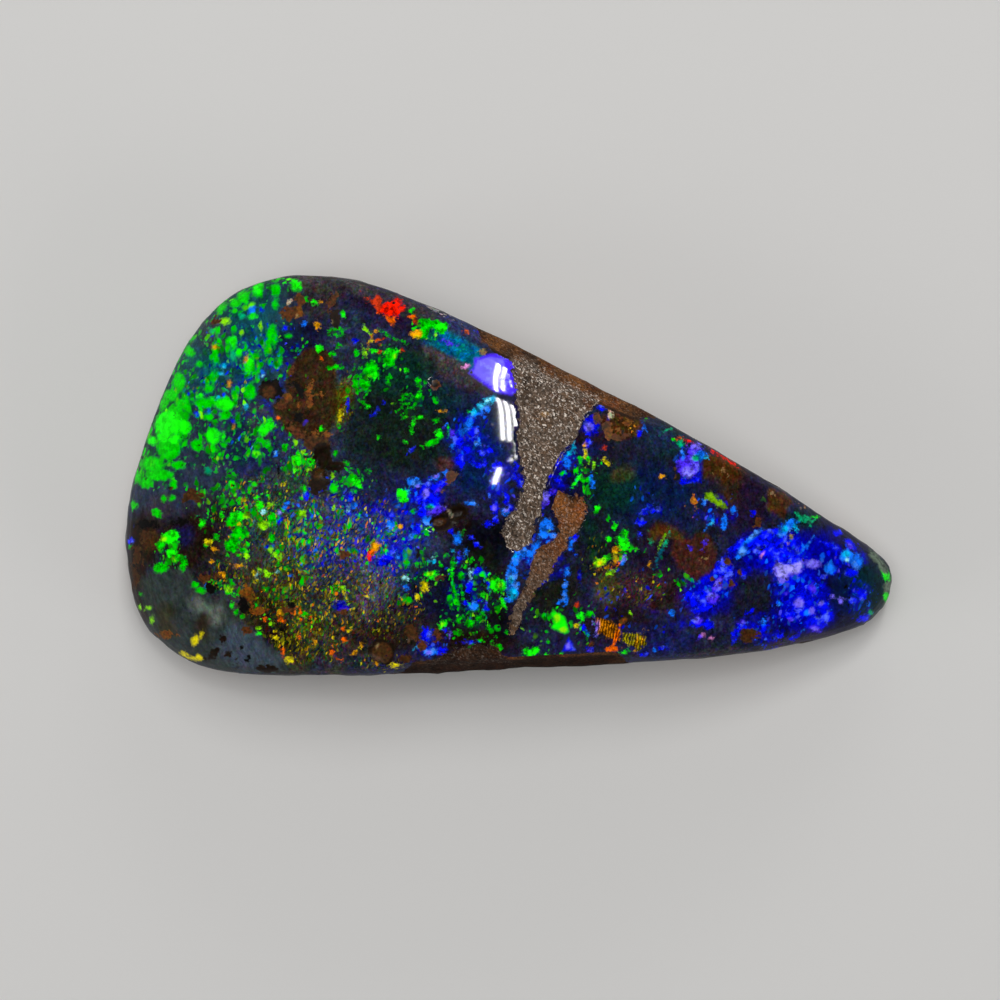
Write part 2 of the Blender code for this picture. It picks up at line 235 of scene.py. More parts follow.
def rimLine():
    # the inner edge of the rolled rim and of the ledges
    outline = closedCurve(form["outline"], form["outlineSpacing"])
    along = np.roll(outline, -1, axis=0) - np.roll(outline, 1, axis=0)
    along /= np.linalg.norm(along, axis=1)[:, None]
    inward = np.stack([along[:, 1], -along[:, 0]], axis=1)
    x, upper = outline[:, 0], onUpperSide(outline[:, 0], outline[:, 1])
    extra, fades = form["upperLedge"]
    inset = form["rimInset"] + extra * band(x, fades) * upper
    extra, fades = form["lowerLedge"]
    inset = inset + extra * band(x, fades) * ~upper
    return outline + inward * inset[:, None]


def polishedHeight(points, rimReach):
    # the dome, less the bevel beyond its ridge and the roll of the rim
    x, y = points[:, 0], points[:, 1]
    crest, radius = form["crest"], form["domeRadius"]
    height = (form["crestHeight"] - (x - crest[0]) ** 2 / (2 * radius[0])
              - (y - crest[1]) ** 2 / (2 * radius[1]))
    start, end = (np.array(p) for p in form["ridge"])
    run = end - start
    across = np.array([-run[1], run[0]]) / np.linalg.norm(run)
    soft = form["ridgeSoftness"]
    bend = soft * np.logaddexp(0.0, ((points - start) @ across) / soft)
    height -= form["bevelSlope"] * bend * band(x, form["bevelFades"])
    side, blunt, tip = form["rollWidth"]
    bluntFade, tipFade = form["rollFades"]
    width = side + blunt * (1.0 - smoothStep(*bluntFade, x)) + tip * smoothStep(*tipFade, x)
    share = 1.0 - np.clip(rimReach / width, 0.0, 1.0)
    drop = 1.0 - np.sqrt(1.0 - form["rollEnd"] * share ** 2)
    return height - form["rollDepth"] * width * drop


def pitShare(points, x, y, halfLength, halfWidth, turn, ragged):
    angle = math.radians(turn)
    dx, dy = points[:, 0] - x, points[:, 1] - y
    u = (dx * math.cos(angle) + dy * math.sin(angle)) / halfLength
    v = (dy * math.cos(angle) - dx * math.sin(angle)) / halfWidth
    return 1.0 - smoothStep(*pitFades, np.hypot(u, v) + ragged)


# Blender helpers

def pickOnly(obj):
    bpy.ops.object.select_all(action="DESELECT")
    obj.select_set(True)
    bpy.context.view_layer.objects.active = obj


def applyModifiers(obj):
    pickOnly(obj)
    for modifier in list(obj.modifiers):
        bpy.ops.object.modifier_apply(modifier=modifier.name)


def readPoints(mesh):
    flat = np.empty(len(mesh.vertices) * 3)
    mesh.vertices.foreach_get("co", flat)
    return flat.reshape(-1, 3)


def readNormals(mesh):
    flat = np.empty(len(mesh.vertices) * 3)
    mesh.vertex_normals.foreach_get("vector", flat)
    return flat.reshape(-1, 3)


def writePoints(mesh, points):
    mesh.vertices.foreach_set("co", np.ascontiguousarray(points, dtype=np.float32).ravel())
    mesh.update()


# The body of the stone

body = {
    "weld": 1e-6,              # m: closer points are joined
    "voxel": 0.232 * mm,       # mesh of the side and the back
    "faceCuts": 2,             # the face is cut finer than that
    "cutFacing": 0.30,         # faces that look up at least this much are cut
    "faceFacing": 0.2,         # points that look up more than this, and lie higher than
    "faceHeight": 1.5,         # this (mm), belong to the face
    "rimBlend": (0.02, 0.12),  # mm inside the rim over which the true dome takes over
    "pitRagged": 0.5,
    "pitGrain": 0.5,
    "grainRelief": 0.045,      # mm, on the sandy rock of the face
    "wallRelief": 0.10,        # mm
    "wallFacing": (0.15, 0.5),     # the wall ends where the stone looks up this much,
    "wallReach": (0.0, 0.15),      # and this far inside the rim (mm)
    "wallHeight": (0.3, 1.3),  # mm below the widest line over which the wall turns rough
    "wallLeast": 0.15,         # the roughness left at that line
    "wallLevel": 0.55,         # noise above this goes inwards
    "wallTurn": 12.0,          # mm of noise for a turn of 1 radian round the stone
    "backLevel": 0.02,         # mm: the ground back lies below this and stays flat
}


patchEdge = {"spacing": 0.1, "coarse": 0.28, "fine": 0.30}      # mm


def rockReach(plan, knots):
    # how far inside a patch of bare rock a point is, in mm, with a ragged edge
    coarse = shapeNoise(*plan.T, "rockCoarse") - 0.5
    fine = shapeNoise(*plan.T, "rockFine") - 0.5
    reach = signedReach(plan, closedCurve(knots, patchEdge["spacing"]))
    return reach + patchEdge["coarse"] * coarse + patchEdge["fine"] * fine


def makeStone():
    node = frame["nodes"]["boulder_opal"]
    stone = bpy.data.objects.new("opalStone", node.data.copy())
    bpy.context.scene.collection.objects.link(stone)
    stone.data.materials.clear()
    pickOnly(stone)
    bpy.ops.object.mode_set(mode="EDIT")
    bpy.ops.mesh.select_all(action="SELECT")
    bpy.ops.mesh.remove_doubles(threshold=body["weld"])
    bpy.ops.mesh.normals_make_consistent(inside=False)
    bpy.ops.object.mode_set(mode="OBJECT")
    remesh = stone.modifiers.new("even mesh", "REMESH")
    remesh.mode = "VOXEL"
    remesh.voxel_size = body["voxel"]
    applyModifiers(stone)

    mesh = stone.data
    facing = np.empty(len(mesh.polygons) * 3)
    mesh.polygons.foreach_get("normal", facing)
    mesh.polygons.foreach_set("select", facing.reshape(-1, 3)[:, 2] > body["cutFacing"])
    bpy.ops.object.mode_set(mode="EDIT")
    bpy.ops.mesh.select_mode(type="FACE")
    bpy.ops.mesh.subdivide(number_cuts=body["faceCuts"])
    bpy.ops.object.mode_set(mode="OBJECT")
    print("stone body:", len(mesh.vertices), "points")
    return stone


def shapeFace(stone):
    # the face is set on its true dome, with the recessed rock and the pits in it
    mesh = stone.data
    points = readPoints(mesh) / mm
    normals = readNormals(mesh)
    facing = normals[:, 2]
    plan = points[:, :2] - np.array(form["shift"])
    rimReach = signedReach(plan, rimLine())
    onFace = (facing > body["faceFacing"]) & (points[:, 2] > body["faceHeight"]) & (rimReach > 0.0)
    x, y = plan[:, 0], plan[:, 1]
    height = polishedHeight(plan, np.maximum(rimReach, 0.0))
    ragged = shapeNoise(x, y, "pits") - 0.5
    rock = np.zeros(len(points))
    for depth, knots in rockPatches.values():
        share = smoothStep(0.0, form["recessEdge"], rockReach(plan, knots))
        height -= depth * share
        rock = np.maximum(rock, share)
    grain = shapeNoise(x, y, "sand") - 0.5
    height += body["grainRelief"] * 2.0 * grain * rock
    for px, py, halfLength, halfWidth, turn, depth in pits.values():
        share = pitShare(plan, px, py, halfLength, halfWidth, turn, body["pitRagged"] * ragged)
        height -= depth * share * (1.0 + body["pitGrain"] * grain)
    sure = smoothStep(*body["rimBlend"], rimReach) * onFace
    points[:, 2] += sure * (height - points[:, 2])

    # the side wall and the back's chamfer are rough, but the line round the stone is smooth
    wall = (1.0 - smoothStep(*body["wallFacing"], facing)) * (points[:, 2] > body["backLevel"])
    wall *= 1.0 - smoothStep(*body["wallReach"], rimReach)
    least = body["wallLeast"]
    wall *= least + (1.0 - least) * smoothStep(*body["wallHeight"],
                                               form["widestHeight"] - points[:, 2])
    rough = shapeNoise(np.arctan2(y, x) * body["wallTurn"], points[:, 2], "wall")
    points += normals * (wall * body["wallRelief"] * 2.0 * (body["wallLevel"] - rough))[:, None]
    low, high = (np.array(corner) / mm for corner in cadBox)
    points = np.clip(points, low, high)
    writePoints(mesh, points * mm)
    mesh.shade_smooth()
    return plan, rimReach


stone = makeStone()
plan, rimReach = shapeFace(stone)
print("face shaped")

# Floor, sky and camera. The painting needs them too, as it follows the camera's view
studio = {
    "floorSize": 3.0,            # m, as are the next three
    "floorDrop": 0.00002,        # below the stone
    "farFade": (0.12, 0.50),     # where the floor takes on the horizon's colour
    "clipStart": 0.001,
    "floorRoughness": 0.9,
    "floorColour": (0.80, 0.79, 0.77, 1.0),
    "floorInGloss": (0.22, 0.22, 0.22, 1.0),   # darker, so that the face looks like glass
    "horizon": (0.72, 0.72, 0.73, 1.0),
    "skyColour": (0.02, 0.02, 0.022, 1.0),
    "skyFade": (0.08, 0.62),     # heights between which the one turns into the other
    "skyInGloss": 0.22,
    "frameWidth": 40.0,          # mm across the picture, at the stone's widest height
    "lens": 120.0,
    "sensor": 36.0,
    "aim": (-0.38 + 0.049, -1.0),
}

# Colours as a screen shows them, from 0 to 255
palette = {
    "green": (0, 205, 0), "vividGreen": (20, 255, 10), "deepGreen": (0, 105, 25),
    "lime": (140, 235, 10), "yellow": (225, 210, 10), "gold": (235, 160, 10),
    "orange": (255, 105, 0), "ember": (185, 50, 20), "red": (255, 25, 0), "blue": (2, 12, 255),
    "deepBlue": (0, 0, 165), "skyBlue": (15, 115, 255), "cyan": (0, 180, 235),
    "paleCyan": (150, 235, 245), "violet": (78, 45, 250), "lilac": (118, 104, 255),
    "paleLilac": (156, 148, 255), "pink": (225, 140, 210), "teal": (0, 90, 95),
    "seaGreen": (0, 165, 110), "cream": (200, 180, 145), "amber": (122, 68, 2),
    "brown": (72, 42, 12), "darkBrown": (32, 19, 8), "rust": (88, 47, 13), "soot": (10, 8, 7),
    "tan": (150, 120, 75), "olive": (80, 76, 4), "oliveGreen": (85, 120, 6),
    "darkOlive": (24, 25, 12), "slate": (44, 52, 72), "mist": (49, 57, 54),
    "paleMist": (98, 107, 98), "greyPurple": (62, 54, 62), "slateNavy": (33, 34, 62),
    "slateBlue": (42, 48, 92), "navy": (20, 24, 80), "midnight": (12, 12, 45),
    "plum": (30, 20, 42), "glass": (20, 31, 26), "pine": (8, 42, 30), "black": (5, 6, 8),
    "greyHaze": (64, 58, 60), "sandstone": (98, 81, 67), "ochre": (128, 74, 22),
    "darkIron": (56, 34, 16), "deepTeal": (8, 38, 44), "greyViolet": (50, 42, 64),
    "redBrown": (68, 34, 22), "windowBrown": (53, 36, 9), "hazeGreen": (50, 66, 56),
    "hazeBlue": (50, 62, 84), "hazeOlive": (54, 51, 34), "hazeBrown": (46, 38, 26),
    "hazeLilac": (112, 100, 128), "tealBlue": (0, 100, 126), "darkNeutral": (27, 28, 43),
    "nightBlue": (8, 30, 74), "wallBrown": (104, 62, 20), "wallFoot": (44, 24, 8),
    "mustard": (150, 140, 8), "leaf": (112, 165, 10), "amberGold": (200, 120, 5),
    "chalk": (170, 166, 162), "lipGrey": (92, 108, 92), "blueMist": (64, 74, 87),
    "windowLight": (80, 53, 12),
}

# Soft grounds under the polish: colour, strength, column, row, width, height, turn
grounds = {
    "bluntEnd": [
        ("slate", 1.0, 215, 430, 300, 420, 0), ("teal", 0.7, 235, 330, 110, 110, 40),
        ("greyPurple", 0.7, 214, 335, 36, 40, 0), ("navy", 0.7, 250, 445, 70, 60, 0),
        ("teal", 0.5, 190, 380, 60, 60, 0), ("greyPurple", 0.6, 262, 425, 30, 40, 0),
        ("greyHaze", 1.0, 325, 284, 70, 26, -8), ("greyPurple", 0.6, 160, 508, 34, 30, 0),
        ("darkBrown", 0.95, 190, 540, 80, 66, 0), ("darkBrown", 1.0, 143, 538, 34, 60, 0),
        ("brown", 0.7, 150, 540, 20, 20, 0), ("darkBrown", 0.7, 215, 578, 60, 26, 0),
        ("darkBrown", 0.95, 138, 590, 26, 90, 12), ("darkBrown", 0.8, 225, 515, 50, 40, 0),
        ("navy", 0.6, 183, 535, 24, 24, 0),
    ],
    "leftMiddle": [
        ("hazeOlive", 1.0, 310, 590, 170, 170, 0), ("hazeGreen", 0.95, 300, 520, 130, 100, 0),
        ("hazeBlue", 1.0, 375, 550, 130, 150, 0), ("greyPurple", 0.6, 325, 512, 60, 34, -30),
        ("hazeBrown", 0.9, 390, 620, 110, 56, 0), ("darkBrown", 0.7, 265, 612, 40, 36, 0),
        ("darkBrown", 0.8, 275, 640, 46, 36, 0), ("hazeBlue", 0.8, 335, 545, 60, 60, 0),
        ("darkBrown", 0.6, 385, 640, 60, 26, 0), ("hazeLilac", 0.3, 372, 585, 50, 60, 0),
        ("deepBlue", 0.45, 384, 550, 34, 46, -20), ("deepBlue", 0.40, 352, 502, 44, 36, 0),
        ("deepBlue", 0.30, 408, 530, 44, 50, 0), ("deepTeal", 0.6, 372, 480, 50, 40, 0),
        ("deepBlue", 0.22, 330, 560, 60, 60, 0), ("hazeBrown", 0.6, 345, 585, 60, 40, 0),
    ],
    "upperMiddle": [
        ("glass", 1.0, 405, 430, 120, 110, 0), ("midnight", 0.8, 300, 340, 60, 40, 40),
        ("plum", 0.9, 395, 312, 150, 30, -26), ("greyHaze", 0.7, 392, 302, 130, 18, -22),
        ("greyHaze", 0.8, 455, 372, 90, 24, -28), ("tealBlue", 1.0, 454, 348, 66, 26, -28),
        ("tealBlue", 1.0, 468, 358, 30, 22, -20), ("deepBlue", 0.4, 446, 341, 26, 8, -20),
        ("hazeBrown", 0.6, 318, 305, 36, 40, 0), ("slateBlue", 0.8, 470, 330, 60, 18, -24),
        ("pine", 0.9, 395, 370, 80, 50, 0), ("olive", 0.95, 343, 402, 24, 58, -15),
        ("glass", 0.8, 370, 425, 60, 60, 0), ("deepTeal", 0.7, 440, 400, 60, 36, 0),
        ("nightBlue", 1.0, 478, 450, 62, 96, 0), ("rust", 0.5, 446, 464, 22, 16, 0),
        ("slateNavy", 0.8, 380, 490, 90, 40, 0),
    ],
    "centre": [
        ("black", 0.9, 488, 545, 60, 60, 0), ("darkOlive", 0.9, 470, 600, 90, 100, 0),
        ("midnight", 0.8, 440, 590, 90, 70, 0), ("navy", 0.8, 425, 500, 60, 50, 0),
        ("darkBrown", 0.8, 450, 520, 50, 40, 0), ("darkBrown", 0.8, 470, 645, 120, 26, 0),
        ("darkOlive", 0.9, 553, 590, 60, 70, 0), ("black", 0.6, 505, 620, 40, 40, 0),
    ],
    "rightOfVein": [
        ("darkNeutral", 1.0, 640, 500, 210, 170, 0), ("midnight", 0.9, 560, 490, 60, 50, 0),
        ("nightBlue", 0.8, 650, 500, 100, 70, 0), ("pine", 0.9, 612, 492, 56, 54, 0),
        ("navy", 0.8, 580, 440, 50, 40, 0), ("darkBrown", 0.8, 592, 438, 44, 14, 0),
        ("deepTeal", 0.8, 668, 440, 50, 34, 0), ("olive", 0.35, 622, 474, 26, 16, 20),
        ("plum", 1.0, 745, 500, 70, 70, 0), ("brown", 0.8, 722, 470, 46, 30, -20),
        ("brown", 0.55, 645, 590, 76, 44, 0), ("darkBrown", 0.7, 620, 620, 80, 50, 0),
        ("plum", 0.8, 660, 550, 60, 60, 0), ("darkBrown", 0.7, 690, 600, 60, 40, 0),
        ("darkOlive", 0.6, 600, 560, 60, 50, 0), ("olive", 0.7, 606, 588, 26, 38, 0),
        ("pine", 0.7, 591, 535, 20, 60, 10), ("windowBrown", 0.7, 728, 492, 26, 34, -30),
        ("slateBlue", 0.35, 655, 436, 44, 30, -25), ("navy", 0.7, 655, 640, 70, 30, 0),
    ],
    "tip": [
        ("midnight", 1.0, 795, 585, 170, 120, 0), ("deepBlue", 0.8, 790, 560, 110, 60, 0),
        ("blue", 0.8, 789, 566, 44, 40, 0), ("deepBlue", 0.7, 805, 610, 60, 44, 0),
        ("deepBlue", 0.7, 712, 592, 60, 40, 30), ("darkNeutral", 0.95, 757, 592, 50, 46, 0),
        ("midnight", 0.8, 835, 585, 50, 40, 0), ("darkNeutral", 0.8, 740, 650, 90, 30, 8),
        ("nightBlue", 0.7, 855, 590, 50, 50, 0), ("deepTeal", 0.9, 872, 590, 44, 70, 0),
        ("greyViolet", 0.9, 812, 642, 110, 18, 8), ("greyHaze", 0.4, 745, 655, 110, 16, 0),
        ("deepTeal", 0.8, 798, 520, 40, 20, 0),
    ],
}

# How thickly the small flecks lie: kind, share, column, row, width, height, turn
fleckZones = [
    ("green", 0.44, 215, 390, 190, 230, 0), ("green", 0.74, 172, 425, 56, 120, -20),
    ("green", 0.62, 150, 465, 50, 60, 0), ("green", 0.50, 245, 300, 120, 44, 30),
    ("green", 0.56, 220, 405, 90, 36, 0), ("green", 0.50, 182, 375, 30, 70, -30),
    ("green", 0.36, 245, 500, 120, 90, 0), ("green", 0.60, 300, 463, 46, 44, 0),
    ("green", 0.34, 170, 552, 36, 50, 0), ("green", 0.34, 240, 535, 46, 60, 0),
    ("green", 0.42, 225, 588, 60, 26, 0), ("green", 0.24, 320, 570, 160, 150, 0),
    ("green", 0.34, 376, 362, 56, 40, 0), ("green", 0.28, 360, 390, 40, 36, 0),
    ("green", 0.70, 425, 330, 40, 24, -20), ("green", 0.18, 405, 398, 70, 50, 0),
    ("green", 0.50, 350, 483, 50, 30, 0), ("green", 0.28, 410, 560, 90, 90, 0),
    ("green", 0.32, 470, 600, 80, 100, 0), ("green", 0.14, 590, 480, 50, 60, 0),
    ("green", 0.26, 625, 545, 50, 50, 0), ("green", 0.20, 560, 620, 90, 60, 0),
    ("green", 0.10, 680, 580, 80, 60, 0), ("green", 0.54, 228, 430, 90, 110, 0),
    ("green", 0.34, 300, 528, 80, 70, 0), ("warm", 0.05, 225, 400, 150, 190, 0),
    ("warm", 0.40, 262, 515, 100, 90, 0), ("warm", 0.60, 320, 590, 150, 130, 0),
    ("warm", 0.60, 300, 640, 110, 50, 0), ("warm", 0.46, 350, 530, 110, 80, 0),
    ("warm", 0.40, 305, 465, 50, 44, 0), ("warm", 0.40, 225, 578, 50, 34, 0),
    ("warm", 0.42, 380, 600, 100, 100, 0), ("warm", 0.34, 380, 662, 70, 20, 0),
    ("warm", 0.26, 345, 400, 26, 60, 0), ("warm", 0.22, 640, 590, 70, 44, 0),
    ("warm", 0.16, 600, 560, 60, 60, 0), ("warm", 0.56, 305, 532, 90, 80, 0),
    ("blue", 0.22, 250, 380, 150, 150, 0), ("blue", 0.36, 335, 525, 130, 110, 0),
    ("blue", 0.50, 390, 535, 100, 100, 0), ("blue", 0.50, 470, 440, 60, 66, 0),
    ("blue", 0.55, 500, 480, 40, 60, 0), ("blue", 0.72, 425, 498, 44, 44, 0),
    ("blue", 0.12, 455, 345, 60, 26, -20), ("blue", 0.30, 488, 334, 34, 14, -20),
    ("blue", 0.60, 432, 645, 40, 30, 0), ("blue", 0.30, 470, 590, 60, 60, 0),
    ("blue", 0.45, 588, 424, 30, 30, 0), ("blue", 0.45, 562, 470, 40, 60, 0),
    ("blue", 0.40, 545, 560, 70, 60, 30), ("blue", 0.60, 690, 465, 40, 44, 0),
    ("blue", 0.14, 655, 500, 60, 50, 0), ("blue", 0.50, 718, 512, 44, 40, 0),
    ("blue", 0.88, 712, 585, 70, 36, 35), ("blue", 0.80, 780, 552, 90, 50, 0),
    ("blue", 0.92, 800, 595, 70, 70, 0), ("blue", 0.52, 760, 630, 60, 40, 0),
    ("blue", 0.60, 840, 560, 60, 40, 0), ("blue", 0.42, 860, 595, 40, 50, 0),
    ("blue", 0.22, 680, 620, 50, 40, 0), ("blue", 0.14, 640, 600, 120, 90, 0),
]

# Where the colours are mellower and melt into each other: share, column, row, width, height, turn
calmZones = [(0.65, 205, 385, 165, 310, -25), (0.45, 850, 585, 130, 150, 0)]

